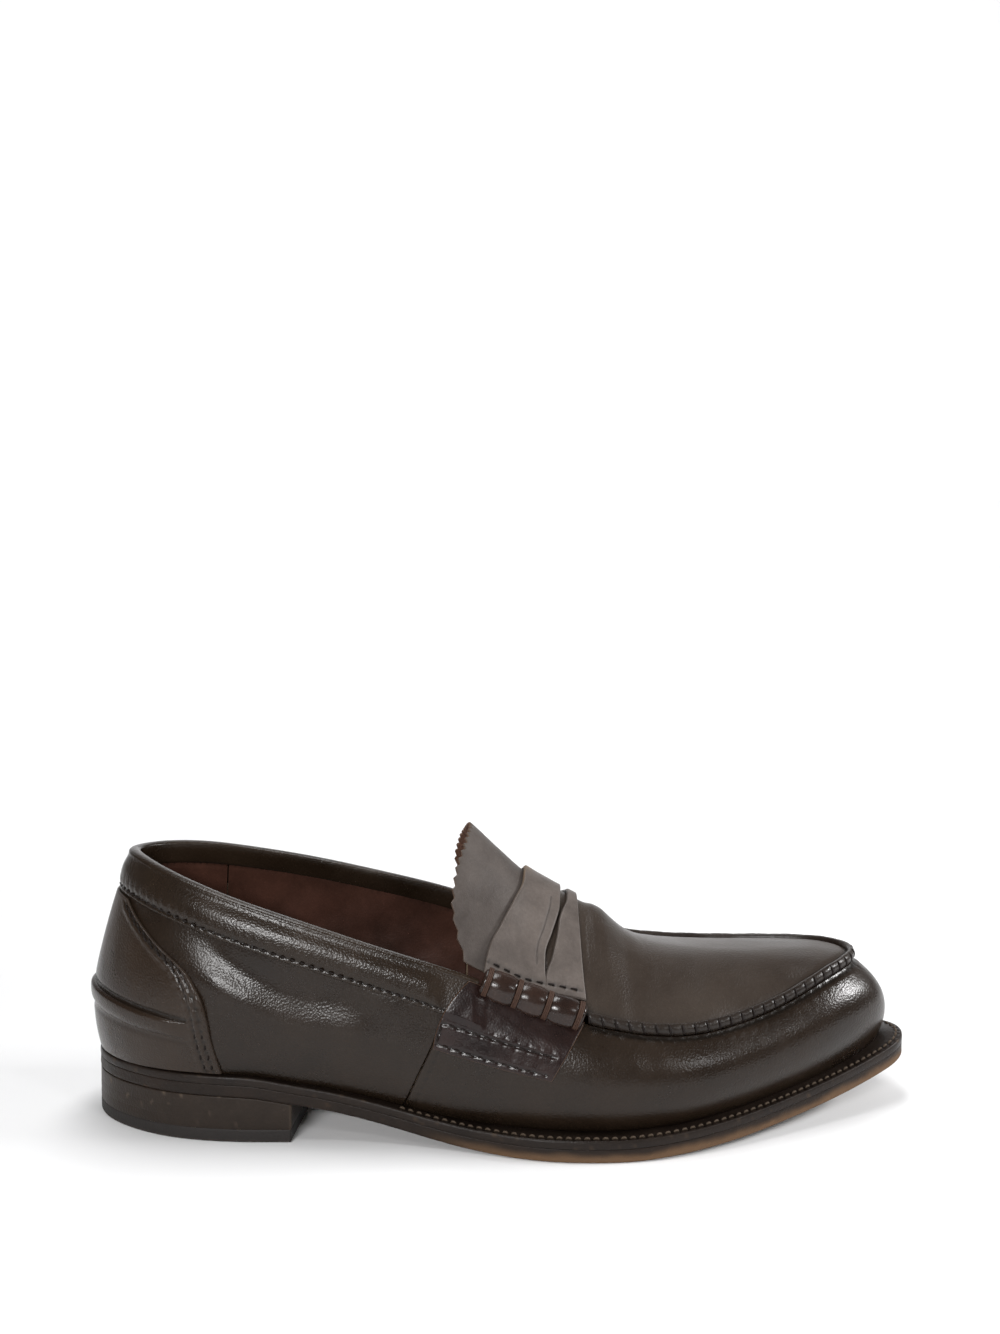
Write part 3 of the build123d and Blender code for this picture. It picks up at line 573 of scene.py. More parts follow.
def plain(name, tone, other, rough, scale, metal=0.0, bump=0.0001):
    """Fine two-tone material for the parts inside the bottom."""
    mat, nodes, links, bsdf = shader(name)
    place = nodes.new("ShaderNodeTexCoord")
    tex = nodes.new("ShaderNodeTexNoise")
    tex.inputs["Scale"].default_value = scale
    tex.inputs["Detail"].default_value = 6
    links.new(place.outputs["Object"], tex.inputs["Vector"])
    ramp = nodes.new("ShaderNodeValToRGB")
    ramp.color_ramp.elements[0].position = 0.36
    ramp.color_ramp.elements[0].color = (*other, 1)
    ramp.color_ramp.elements[1].position = 0.64
    ramp.color_ramp.elements[1].color = (*tone, 1)
    links.new(tex.outputs["Fac"], ramp.inputs["Fac"])
    links.new(ramp.outputs["Color"], bsdf.inputs["Base Color"])
    relief = nodes.new("ShaderNodeBump")
    relief.inputs["Strength"].default_value = 0.5
    relief.inputs["Distance"].default_value = bump
    links.new(tex.outputs["Fac"], relief.inputs["Height"])
    links.new(relief.outputs["Normal"], bsdf.inputs["Normal"])
    bsdf.inputs["Metallic"].default_value = metal
    bsdf.inputs["Roughness"].default_value = rough
    return mat


hard = {
    plain("cork_grain", (0.33, 0.19, 0.09), (0.12, 0.06, 0.03), 0.85, 420, bump=0.0004): ["cork_filler"],
    plain("fibre_board", (0.26, 0.17, 0.10), (0.19, 0.12, 0.07), 0.8, 900): ["shank_cover"],
    plain("shank_steel", (0.42, 0.42, 0.43), (0.30, 0.29, 0.28), 0.38, 300, metal=1.0): ["steel_shank"],
    plain("nail_steel", (0.35, 0.34, 0.33), (0.22, 0.20, 0.18), 0.42, 800, metal=1.0): ["seat_nails"],
    plain("nail_brass", (0.55, 0.38, 0.16), (0.36, 0.24, 0.10), 0.36, 800, metal=1.0): ["top_piece_nails"],
    plain("insole_hide", (0.42, 0.27, 0.16), (0.30, 0.19, 0.11), 0.62, 160): ["insole"],
    plain("stiffener_fibre", (0.30, 0.22, 0.15), (0.22, 0.16, 0.10), 0.8, 700):
        ["toe_puff", "side_backer_lateral", "side_backer_medial", "heel_stiffener"],
}
for mat, names in hard.items():
    for name in names:
        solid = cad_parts[name]
        solid.data.materials.clear()
        solid.data.materials.append(mat)

# ======== Sock lining and linings ========
# Red-brown lining leather, glossy where the foot has polished it. The sock lies on the insole; the
# heel, quarter, vamp and apron linings are pasted inside and sewn at the topline and side seams.
STATIONS = [
    (-146.8, 0.0, -136.6, 0.0, 94.5, 10.8, 3.0), (-138.5, -16.5, -130.0, -12.5, 93.2, 10.4, 3.4),
    (-120.0, -28.0, -115.0, -23.5, 89.0, 10.0, 4.4), (-95.0, -32.5, -92.0, -30.3, 81.6, 9.0, 5.6),
    (-68.0, -32.5, -66.0, -33.4, 73.6, 8.2, 6.0), (-40.0, -33.0, -40.0, -34.9, 65.4, 8.8, 6.0),
    (-14.0, -36.6, -15.0, -35.8, 57.6, 9.6, 6.4), (12.0, -41.3, 9.0, -36.6, 48.5, 8.8, 8.0),
    (37.0, -42.6, 34.0, -37.8, 41.0, 8.0, 9.6), (60.0, -38.9, 59.0, -36.0, 37.6, 7.4, 9.8),
    (81.5, -30.6, 80.0, -29.0, 38.8, 7.2, 9.8), (101.0, -20.9, 100.0, -20.0, 43.4, 7.2, 10.4),
    (120.5, -10.5, 117.5, -9.6, 49.2, 7.4, 11.4), (140.5, 6.0, 131.0, 5.5, 51.8, 7.5, 12.5),
    (137.0, 22.0, 127.5, 19.5, 52.0, 7.8, 12.0), (122.5, 33.8, 114.0, 28.5, 51.0, 8.0, 11.0),
    (103.0, 40.5, 96.0, 33.6, 49.8, 7.2, 9.4), (80.0, 43.2, 75.0, 35.6, 49.5, 7.0, 8.4),
    (55.0, 41.3, 51.5, 35.8, 51.0, 7.8, 8.0), (28.0, 35.2, 26.5, 35.2, 56.0, 9.0, 7.8),
    (2.0, 28.2, 2.0, 34.2, 63.8, 10.6, 7.2), (-25.0, 25.0, -23.0, 33.4, 72.0, 11.6, 7.0),
    (-50.0, 26.2, -49.0, 32.6, 78.6, 11.0, 6.8), (-75.0, 29.8, -73.0, 31.4, 84.0, 10.0, 6.0),
    (-98.0, 31.6, -95.0, 28.2, 88.5, 9.2, 5.0), (-120.5, 27.5, -115.0, 21.8, 92.3, 10.0, 4.0),
    (-138.5, 16.0, -130.0, 11.8, 94.2, 10.4, 3.2)]
feather_x, feather_y, top_x, top_y, top_z, full_low, full_high = (
    closed_spline([s[i] for s in STATIONS]) for i in range(7))


def wall(u, v, d=0.0):
    """Point of the upper's wall: u round the shoe, v from feather to top, d out of the leather."""
    u, v, d = np.broadcast_arrays(np.asarray(u, float), np.asarray(v, float), np.asarray(d, float))

    def surface(a, b):
        nx, ny = outward(feather_x, feather_y, a)
        swell = 3 * b * (1 - b) ** 2 * full_low(a) + 3 * b * b * (1 - b) * full_high(a)
        foot = welt_top(feather_x(a)) + 0.1
        return np.stack([feather_x(a) * (1 - b) + top_x(a) * b + nx * swell,
                         feather_y(a) * (1 - b) + top_y(a) * b + ny * swell,
                         foot * (1 - b) + top_z(a) * b], -1)

    out = np.cross(surface(u + 0.01, v) - surface(u - 0.01, v),
                   surface(u, v + 0.005) - surface(u, v - 0.005))
    out = out / np.linalg.norm(out, axis=-1, keepdims=True)
    return surface(u, v) + out * d[..., None]


def wall_height(u):
    return top_z(u) - welt_top(feather_x(u))


def fine_ends(count, near=(0.0, 0.12, 0.3, 0.55), length=60.0):
    """Even steps from 0 to 1 with extra ones near both ends, where the edge is rounded."""
    ends = np.array(near) / length
    return np.concatenate([ends, np.linspace(ends[-1] * 1.8, 1 - ends[-1] * 1.8, count), 1 - ends[::-1]])


def facing(grid):
    """Outward direction at each point of a grid."""
    out = np.cross(np.gradient(grid, axis=0), np.gradient(grid, axis=1))
    return out / np.maximum(np.linalg.norm(out, axis=-1, keepdims=True), 1e-9)


def rim(grid):
    """Distance to the border of a grid of points."""
    along = np.linalg.norm(np.diff(grid, axis=0), axis=-1)
    across = np.linalg.norm(np.diff(grid, axis=1), axis=-1)
    a = np.concatenate([np.zeros((1, grid.shape[1])), np.cumsum(along, 0)])
    b = np.concatenate([np.zeros((grid.shape[0], 1)), np.cumsum(across, 1)], 1)
    return np.minimum(np.minimum(a, a[-1:] - a), np.minimum(b, b[:, -1:] - b))


def hide(name, base, thick, mats, raise_by=0.0, marks=None, cut=1.0, radius=0.5, under=0, soft=None):
    """Piece of leather with rounded edges: base is its outer face, raise_by moves that face."""
    out = facing(base)
    e = np.clip(rim(base) / radius, 0, 1)
    drop = radius * (1 - np.sqrt(np.clip(1 - (1 - e) ** 2, 0, 1)))
    if soft is not None:
        drop = drop * soft
    outer = base + out * (raise_by - drop)[..., None]
    inner = base - out * thick
    n, m = base.shape[:2]
    index = np.arange(n * m).reshape(n, m)
    quads = np.stack([index[:-1, :-1], index[1:, :-1], index[1:, 1:], index[:-1, 1:]], -1).reshape(-1, 4)
    loop_ids = np.concatenate([index[0, :-1], index[:-1, -1], index[-1, :0:-1], index[:0:-1, 0]])
    nxt = np.roll(loop_ids, -1)
    border = np.stack([loop_ids, nxt, nxt + n * m, loop_ids + n * m], -1)
    faces = np.concatenate([quads, quads[:, ::-1] + n * m, border])
    points = (np.concatenate([outer.reshape(-1, 3), inner.reshape(-1, 3)]) + SHIFT) / 1000
    mesh = bpy.data.meshes.new(name)
    mesh.vertices.add(len(points))
    mesh.vertices.foreach_set("co", points.ravel())
    mesh.loops.add(faces.size)
    mesh.loops.foreach_set("vertex_index", faces.ravel())
    mesh.polygons.add(len(faces))
    mesh.polygons.foreach_set("loop_start", np.arange(0, faces.size, 4))
    mesh.polygons.foreach_set("use_smooth", [True] * len(faces))
    rank = np.concatenate([np.zeros(len(quads)), np.full(len(quads), under), np.full(len(border), under)])
    mesh.polygons.foreach_set("material_index", rank.astype(int))
    for mat in mats:
        mesh.materials.append(mat)
    bare = np.clip(1 - rim(base) / 0.28, 0, 1) * cut
    for key in ("edge", "dark"):
        top = np.zeros((n, m)) + (marks or {}).get(key, 0)
        low = np.zeros((n, m))
        if key == "edge":
            top = np.maximum(top, bare)
            low = low + bare
        attribute = mesh.attributes.new(key, "FLOAT", "POINT")
        attribute.data.foreach_set("value", np.concatenate([top.ravel(), low.ravel()]).astype(np.float32))
    mesh.update()
    mesh.validate()
    obj = bpy.data.objects.new(name, mesh)
    bpy.context.collection.objects.link(obj)
    return obj


def seam(grid, line, pitch=0.0, width=0.45, depth=0.22, hole=0.30, pucker=0.16, reach=1.2, dark=0.5):
    """Effect of a line of stitches on a leather face: how far it moves, and its painted shade."""
    steps = np.linalg.norm(np.diff(line, axis=0), axis=1)
    far = np.concatenate([[0], np.cumsum(steps)])
    here = np.arange(0, far[-1], 0.2)
    fine = np.stack([np.interp(here, far, line[:, i]) for i in range(3)], -1)
    tree = KDTree(len(fine))
    for i, p in enumerate(fine):
        tree.insert(p, i)
    tree.balance()
    flat = grid.reshape(-1, 3)
    low = fine.min(0) - 5
    high = fine.max(0) + 5
    close = np.nonzero(np.all((flat > low) & (flat < high), axis=1))[0]
    b = np.full(len(flat), 99.0)
    a = np.zeros(len(flat))
    for i in close:
        _, j, d = tree.find(flat[i])
        b[i] = d
        a[i] = here[j]
    move = -depth * np.exp(-(b / width) ** 2)
    # Painted shade along the stitch groove, darkest in each hole.
    shade = dark * np.exp(-(b / (width * 0.9)) ** 2)
    if pitch:
        beat = (0.5 + 0.5 * np.cos(2 * np.pi * a / pitch)) ** 4
        move = move - hole * beat * np.exp(-(b / 0.5) ** 2)
        move = move + pucker * (1 - beat) * np.exp(-((b - reach) / (0.75 * reach)) ** 2)
        shade = np.maximum(shade, 0.95 * beat * np.exp(-(b / 0.55) ** 2))
    return move.reshape(grid.shape[:2]), shade.reshape(grid.shape[:2])


lining_mat = leather("lining_leather", (0.088, 0.036, 0.024), (0.036, 0.016, 0.011), (0.09, 0.05, 0.03),
                     0.40,
                     grain=0.4, patch=38, coat=0.15)
u = np.linspace(0, len(STATIONS), 300, endpoint=False)
nx, ny = outward(feather_x, feather_y, u)
bx = feather_x(u) - 3.5 * nx
by = feather_y(u) - 3.5 * ny
sx = np.clip(bx, -112, 108)
sy = spine_y(sx) * 0.6
rows = []
for share, up in [(k / 24, 3.4) for k in range(24)] + [(0.985, 3.4), (0.996, 3.3), (1.0, 3.05), (1.0, 2.66)]:
    x = sx + (bx - sx) * share
    rows.append(np.stack([x, sy + (by - sy) * share, welt_top(x) + up], -1))
grid = np.stack(rows, 1)
foot = ripple(grid * np.array([1, 1, 0]), 40, 51) * 0.12
grid[:, :24, 2] += foot[:, :24] * 0.4
sock = skin("sock_lining", grid, [lining_mat], {"edge": grid[..., 0] * 0, "dark": np.clip(foot * 2, 0, 0.3)},
            around=True)
put(sock, "lining_leather", "sock_lining")
LININGS = {"vamp_lining": (6.3, 20.6, 0.96, 220), "quarter_lining_lateral": (2.42, 6.28, 0.985, 110),
           "quarter_lining_medial": (20.62, 24.58, 0.985, 110), "heel_lining": (-2.4, 2.4, 0.985, 120)}
for name, (u0, u1, high, count) in LININGS.items():
    s = fine_ends(count, length=200)[:, None]
    t = fine_ends(46, length=60)[None, :]
    uu = u0 + (u1 - u0) * s + t * 0
    vv = 0.02 + (high - 0.02) * t + s * 0
    inside = wall(uu, vv, np.full_like(uu, -3.0))[::-1]
    move = ripple(inside, 18, 61) * 0.16 + ripple(inside, 7, 62) * 0.06
    if name == "vamp_lining":
        marks = {"dark": inside[..., 0] * 0}
    else:
        near = 1 - 6.5 / wall_height(uu[::-1, 0])
        first = wall(uu[::-1, 0], near, np.full(len(uu), -3.0))
        # The topline seam is pressed in, with shade painted into its groove and holes.
        moved, shade = seam(inside, first, 2.6, hole=0.2, pucker=0.1, dark=0.3)
        move = move + moved
        marks = {"dark": shade}
    put(hide(name, inside, 0.9, [lining_mat], move, marks, cut=0.4, radius=0.4), "lining_leather", name)

# ======== Vamp and quarters ========
# The vamp wraps the toe and laps over the two quarters at the side seams. Waxed brown calf, moulded
# over the last, with long soft hollows where the foot bends, and shade painted on near the welt.
calf = dict(grain=0.5, coat=0.05, bump=0.00015)
upper_mat = leather("upper_calf", (0.0225, 0.0136, 0.0080), (0.0120, 0.0070, 0.0040), (0.022, 0.014, 0.010),
                    0.27, patch=30, **calf)


def seam_lateral(t):
    return 5.22 + 0.87 * t


def seam_medial(t):
    return 21.35 - 0.8 * t


t = fine_ends(52, length=50)[None, :]
s = fine_ends(420, length=440)[:, None]
uu = seam_lateral(t) + (seam_medial(t) - seam_lateral(t)) * s
vv = t + s * 0
base = wall(uu, vv)
lift = 0.75 * (smooth(0.02, 0.0, s) + smooth(0.98, 1.0, s)) * smooth(0, 0.1, t) * smooth(1.0, 0.9, t)
move = lift + ripple(base, 46, 71) * 0.28 + ripple(base, 15, 72) * 0.06
# The side seams and the lip seam are pressed in, with shade painted into their grooves and holes.
for u_seam in (seam_lateral, seam_medial):
    direction = 1 if u_seam is seam_lateral else -1
    k = np.linspace(0.03, 0.99, 60)
    line = wall(u_seam(k) + direction * 0.10, k)
    moved, shade = seam(base, line, 3.4, hole=0.2, pucker=0.1, dark=0.25)
    move = move + moved
    marks_dark = shade if u_seam is seam_lateral else np.maximum(marks_dark, shade)
k = np.linspace(7.85, 18.80, 700)
moved, shade = seam(base, wall(k, 1 - 0.9 / wall_height(k)), 4.6, width=0.9, depth=0.30, hole=0.30,
                    pucker=0.13, reach=1.9, dark=0.8)
move = move + moved
marks_dark = np.maximum(marks_dark, shade)
# Painted shade along the foot of the vamp, where it tucks in above the welt.
welt_gap_shade = 0.5 * np.exp(-(vv / 0.07) ** 2)
crease = np.exp(-((base[..., 0] - 52 - base[..., 1] * 0.1) / 9) ** 2) * np.sin(base[..., 0] / 1.9 + vv
                                                                               * 5) * 0.10
move = move + crease * smooth(0.3, 0.8, vv) * smooth(10, 30, np.abs(base[..., 1]))
put(hide("vamp", base, 1.2, [upper_mat], move, {"dark": np.maximum(marks_dark, welt_gap_shade)}, cut=0.5),
    "upper_leather", "vamp")
for name, u0, u1 in (("quarter_lateral", lambda t: 0.01 + t * 0, lambda t: seam_lateral(t) - 0.008),
                     ("quarter_medial", lambda t: seam_medial(t) + 0.008, lambda t: 26.99 + t * 0)):
    s = fine_ends(170, length=150)[:, None]
    t = fine_ends(74, length=70)[None, :]
    uu = u0(t) + (u1(t) - u0(t)) * s
    vv = t + s * 0
    base = wall(uu, vv)
    move = ripple(base * np.array([1, 1, 2.4]), 60, 75) * 0.45 + ripple(base, 18, 76) * 0.08
    # The soft quarter stands out in a slanting fold behind the ankle, with a hollow above it.
    x, z = base[..., 0], base[..., 2]
    run = smooth(-116, -96, x) * smooth(-34, -60, x)
    off = z - (50.0 - (x + 90) * 0.36 - 2.2 * np.sin((x + 90) / 9.0))
    fold = 1.25 * np.exp(-(off / 5.8) ** 2) - 0.85 * np.exp(-((off - 11.5) / 5.5) ** 2)
    low_fold = 0.5 * np.exp(-((z - 33 + (x + 20)
                               * 0.22) / 6.0) ** 2) * smooth(-66, -44, x) * smooth(0, -18, x)
    move = move + fold * run * (1.0 if name == "quarter_lateral" else 0.6) + low_fold
    # Painted shade along the foot of the quarter, where it tucks in above the welt.
    dark = 0.55 * np.exp(-(vv / 0.05) ** 2)
    move = move * smooth(0, 0.15, vv) * smooth(1.0, 0.85, vv)
    put(hide(name, base, 1.2, [upper_mat], move, {"dark": dark}, cut=0.5), "upper_leather", name)

# ======== Collar bands ========
# A padded strip sewn along the top of each quarter and rolled over the topline. Its stitches pull
# the leather into small puckers, and the roll leaves a shallow groove under the rim.
COLLAR = 13.0
band_mat = leather("collar_calf", (0.027, 0.0168, 0.0100), (0.0145, 0.0088, 0.0052), (0.026, 0.017, 0.012),
                   0.26, patch=34, **calf)


def collar_low(u):
    return 1 - COLLAR / wall_height(u)


sewn = []
for name, u0, u1 in (("collar_lateral", 0.015, 6.28), ("collar_medial", 20.36, 26.985)):
    u, arc = even(top_x, top_y, u0, u1, 0.42)
    nx, ny = outward(top_x, top_y, u)
    height = wall_height(u)
    cols = []
    under_tab = smooth(5.55, 5.85, u) if u0 < 1 else smooth(21.1, 20.8, u)
    drops = [0.0, 0.15, 0.4, 0.7, 1.0, 1.3, 1.6, 1.9, 2.3, 2.8, 3.4, 4.2, 5.2, 6.4, 7.6, 8.8, 10.0, 11.0,
             11.8, 12.4, 12.8]
    pad = [0.15, 0.45, 0.66, 0.74, 0.74, 0.72, 0.70, 0.74, 0.86, 1.05, 1.25, 1.45, 1.62, 1.70, 1.66, 1.5,
           1.22, 1.0, 0.88,
           0.92, 0.98]
    low = collar_low(u)
    dark_rows = []
    beat = (0.5 + 0.5 * np.cos(2 * np.pi * arc / 3.4)) ** 4
    for drop, d in zip(drops, pad):
        fall = np.exp(-((drop - 1.6) / 0.55) ** 2)
        tug = np.exp(-((drop - 3.0) / 1.3) ** 2)
        d = d - 0.34 * fall * beat - 0.10 * fall + 0.26 * tug * (1 - beat)
        d = d * (1 - under_tab) + min(d.max(), 0.75) * under_tab
        cols.append(wall(u, low + drop / height, d))
        # The stitch row is painted darker: painted shade in its groove, darkest in each hole.
        dark_rows.append(np.maximum(beat ** 0.5 * fall, 0.35 * fall))
    top = np.stack([top_x(u), top_y(u), top_z(u)], -1)
    for angle in np.linspace(0, 180, 13)[1:]:
        reach = math.cos(math.radians(angle)) * 2.15 - 1.15
        rise = math.sin(math.radians(angle)) * 1.25
        cols.append(top + np.stack([nx * reach, ny * reach, np.full_like(u, rise)], -1))
        dark_rows.append(u * 0)
    for down, inside in ((1.5, -3.35), (3.5, -3.4), (5.5, -3.35), (6.3, -3.2), (6.6, -2.9)):
        cols.append(wall(u, 1 - down / height, np.full_like(u, inside)))
        dark_rows.append(u * 0)
    grid = np.stack(cols, 1)
    out = ripple(grid, 30, 81) * 0.10
    grid[:, 8:30] += facing(grid)[:, 8:30] * out[:, 8:30, None]
    put(skin(name, grid, [band_mat], {"edge": grid[..., 0] * 0, "dark": np.stack(dark_rows, 1)}),
        "upper_leather", name)
    line = wall(u, low + 1.6 / height, np.full_like(u, 0.62))
    sewn += stitches(line, facing(np.stack([line, line + [0, 0, 1]], 1))[:, 0], 3.4, 2.2, 0.34, -0.02)
thread_upper = thread_dark.copy()
thread_upper.name = "upper_thread"
thread_upper.node_tree.nodes["Principled BSDF"].inputs["Base Color"].default_value = (0.009, 0.0055, 0.0042,
                                                                                      1)
put(thread_mesh("collar_stitching", sewn, thread_upper), "thread", "collar_stitching")

# ======== Counter cover and heel ridge ========
# One piece wrapped round the back of the heel with two rows of stitches along its border, and a
# rolled ridge moulded across it that stands out behind. A deep crease runs above the ridge.
cover_reach = steady_curve([0.0, 0.25, 0.5, 0.7, 0.85, 1.0], [2.95, 2.84, 2.74, 2.5, 1.85, 1.0])
cover_mat = leather("counter_calf", (0.033, 0.0198, 0.0115), (0.018, 0.0105, 0.0062), (0.05, 0.034, 0.024),
                    0.28, patch=28, **calf)
COVER = 1.15


def cover_point(side, t, inset, d):
    u = side * (cover_reach(t) - inset)
    return wall(u, 0.014 + t * (collar_low(u) - 0.024), d)


s = (fine_ends(250, length=150) * 2 - 1)[:, None]
t = fine_ends(84, length=62)[None, :]
uu = s * cover_reach(t)
vv = 0.014 + t * (collar_low(uu) - 0.024)
base = wall(uu, vv, np.full_like(uu, COVER))
move = ripple(base, 34, 91) * 0.22 + ripple(base, 11, 92) * 0.05
x, z = base[..., 0], base[..., 2]
move = move + 0.9 * np.exp(-((x + 104.5) / 4.5) ** 2 - ((z - 49 + (x + 104.5) * 0.8) / 9.0) ** 2)
dark = base[..., 0] * 0
k = np.linspace(0.02, 0.97, 90)
sewn = []
for side in (-1, 1):
    for inset in (0.095, 0.195):
        line = cover_point(side, k, inset, np.full_like(k, COVER))
        # Both rows are pressed in, with shade painted into their grooves and holes.
        moved, shade = seam(base, line, 4.0, hole=0.34, pucker=0.24, dark=0.4)
        move = move + moved
        dark = np.maximum(dark, shade)
        normal = cover_point(side, k, inset, np.full_like(k, COVER + 1)) - line
        sewn += stitches(line, normal, 4.0, 2.5, 0.34, -0.06, slant=0.35)


def ridge_span(u):
    return 0.26 - 0.012 * np.abs(u) ** 1.5, 0.355 - 0.012 * np.abs(u) ** 1.5


k = np.linspace(-2.5, 2.5, 200)
# The creases along both borders of the ridge are pressed in and painted with shade, the upper one darker.
for end, depth in ((1, 0.5), (0, 0.25)):
    moved, shade = seam(base, wall(k, ridge_span(k)[end] + (0.012 if end else -0.02), COVER), 0, width=0.8,
                        depth=depth,
                        dark=0.55 * end + 0.2)
    move = move + moved
    dark = np.maximum(dark, shade)
put(hide("counter_cover", base, 1.0, [cover_mat], move, {"dark": dark}, cut=0.7, radius=0.6),
    "upper_leather", "counter_cover")
put(thread_mesh("counter_stitching", sewn, thread_upper), "thread", "counter_stitching")
k = np.linspace(-2.55, 2.55, 260)
low, high = ridge_span(k)
fade = smooth(2.55, 2.15, np.abs(k)) * 0.75 + 0.25
rows = []
for w, d in ((-0.06, -0.3), (0.0, 0.10), (0.06, 0.35), (0.15, 0.66), (0.28, 0.96), (0.42, 1.16),
             (0.56, 1.30), (0.70, 1.40),
             (0.80, 1.40), (0.88, 1.28), (0.94, 1.0), (0.98, 0.6), (1.0, 0.1), (1.0, -0.3)):
    rows.append(wall(k, low + (high - low) * w, COVER + np.where(d > 0, d * fade, d)))
grid = np.stack(rows, 1)
grid = grid + facing(grid) * (ripple(grid, 12, 95) * 0.06)[..., None]
# Painted shade along the ridge's lower and upper borders, where it meets the cover.
shade = np.tile([0.6, 0.5, 0.2, 0, 0, 0, 0, 0, 0, 0, 0, 0.3, 0.7, 0.8], (len(k), 1))
put(skin("heel_ridge", grid, [cover_mat], {"edge": grid[..., 0] * 0, "dark": shade}), "upper_leather",
    "heel_ridge")

# ======== Side tabs ========
# A dark red-brown tab on each side holds the strap down. A U of stitches runs round its lower part
# and its cut edges show bare leather.
tab_mat = leather("tab_leather", (0.024, 0.0105, 0.0085), (0.010, 0.005, 0.0045), (0.14, 0.075, 0.04), 0.26,
                  patch=60, grain=0.3,
                  coat=0.12)


def tab_point(side, s, t, d):
    s, t = np.broadcast_arrays(s, t)
    if side == "lateral":
        back, front, low = 5.68 + 0.10 * t + 0.36 * t ** 2, 7.25 + 0.50 * t, 0.505 - 0.03 * s
    else:
        back, front, low = 20.92 - 0.20 * t - 0.22 * t ** 2, 19.30 - 0.42 * t, 0.62 - 0.05 * s
    u = back + (front - back) * s
    v = low + (0.999 - low) * t
    band = smooth(-0.8, 1.4, (v - collar_low(u)) * wall_height(u))
    reach = smooth(6.42, 6.2, u) if side == "lateral" else smooth(20.22, 20.44, u)
    return wall(u, v, d + 1.0 * band * reach)


sewn = []
for side in ("lateral", "medial"):
    s = fine_ends(105, length=46)[:, None]
    t = fine_ends(58, length=24)[None, :]
    base = tab_point(side, s, t, 1.1)
    flip = side == "medial"
    if flip:
        base = base[::-1]
    move = ripple(base, 12, 101) * 0.16 + ripple(base, 5, 102) * 0.05
    dark = base[..., 0] * 0
    k = np.linspace(0, 1, 40)
    runs = [tab_point(side, 0.05 + 0.88 * k, 0.085 + k * 0, 1.1), tab_point(side, 0.05 + 0.88 * k,
                                                                            0.375 + k * 0, 1.1),
            tab_point(side, 0.028 + k * 0, 0.085 + 0.29 * k, 1.1)]
    # The stitch rows are pressed in, with shade painted into their grooves and holes.
    for line, pitch in zip(runs, (4.1, 4.1, 3.4)):
        moved, shade = seam(base, line, pitch, depth=0.16, hole=0.30, pucker=0.09, dark=0.5)
        move = move + moved
        dark = np.maximum(dark, shade)
        axis = np.array([0, -1.0 if side == "lateral" else 1.0, 0.35])
        sewn += stitches(line, np.tile(axis, (len(line), 1)), pitch, 2.4, 0.30, -0.16)
    put(hide("side_tab_" + side, base, 1.0, [tab_mat], move, {"dark": dark}, cut=0.75, radius=0.45),
        "tab_leather", "side_tab_" + side)
put(thread_mesh("tab_stitching", sewn, thread_upper), "thread", "tab_stitching")

# ======== Beef rolls and their wraps ========
# Where strap and tab meet, the edge is rolled over a core and bound with four turns of cord. The
# leather swells between the turns and is polished on top.
ROLL_OUT = [(3.6, -1.7), (4.9, -0.9), (5.7, 0.8), (5.8, 2.8), (4.9, 4.9), (3.1, 6.2), (1.2, 6.6)]
ROLL_IN = [(3.35, -1.5), (2.75, -0.6), (2.0, 0.7), (1.6, 2.2), (1.35, 3.8), (1.1, 5.2), (0.9, 6.1)]
roll_mat = leather("roll_leather", (0.034, 0.0175, 0.012), (0.015, 0.008, 0.006), (0.10, 0.055, 0.03), 0.22,
                   patch=70, grain=0.25,
                   coat=0.2)
wrap_mat = thread_dark.copy()
wrap_mat.name = "wrap_cord"
wrap_mat.node_tree.nodes["Principled BSDF"].inputs["Base Color"].default_value = (0.052, 0.027, 0.018, 1)


def roll_ring(section, u, grow):
    """Section of the roll at each station, swollen outward by grow."""
    nx, ny = outward(top_x, top_y, u)
    away = section - np.array([3.2, 2.4])
    away = away / np.linalg.norm(away, axis=1, keepdims=True)
    spot = section[None] + away[None] * grow
    return np.stack([top_x(u)[:, None] + nx[:, None] * spot[..., 0] + 0.38 * spot[..., 1],
                     top_y(u)[:, None] + ny[:, None] * spot[..., 0], top_z(u)[:, None] + spot[..., 1]], -1)


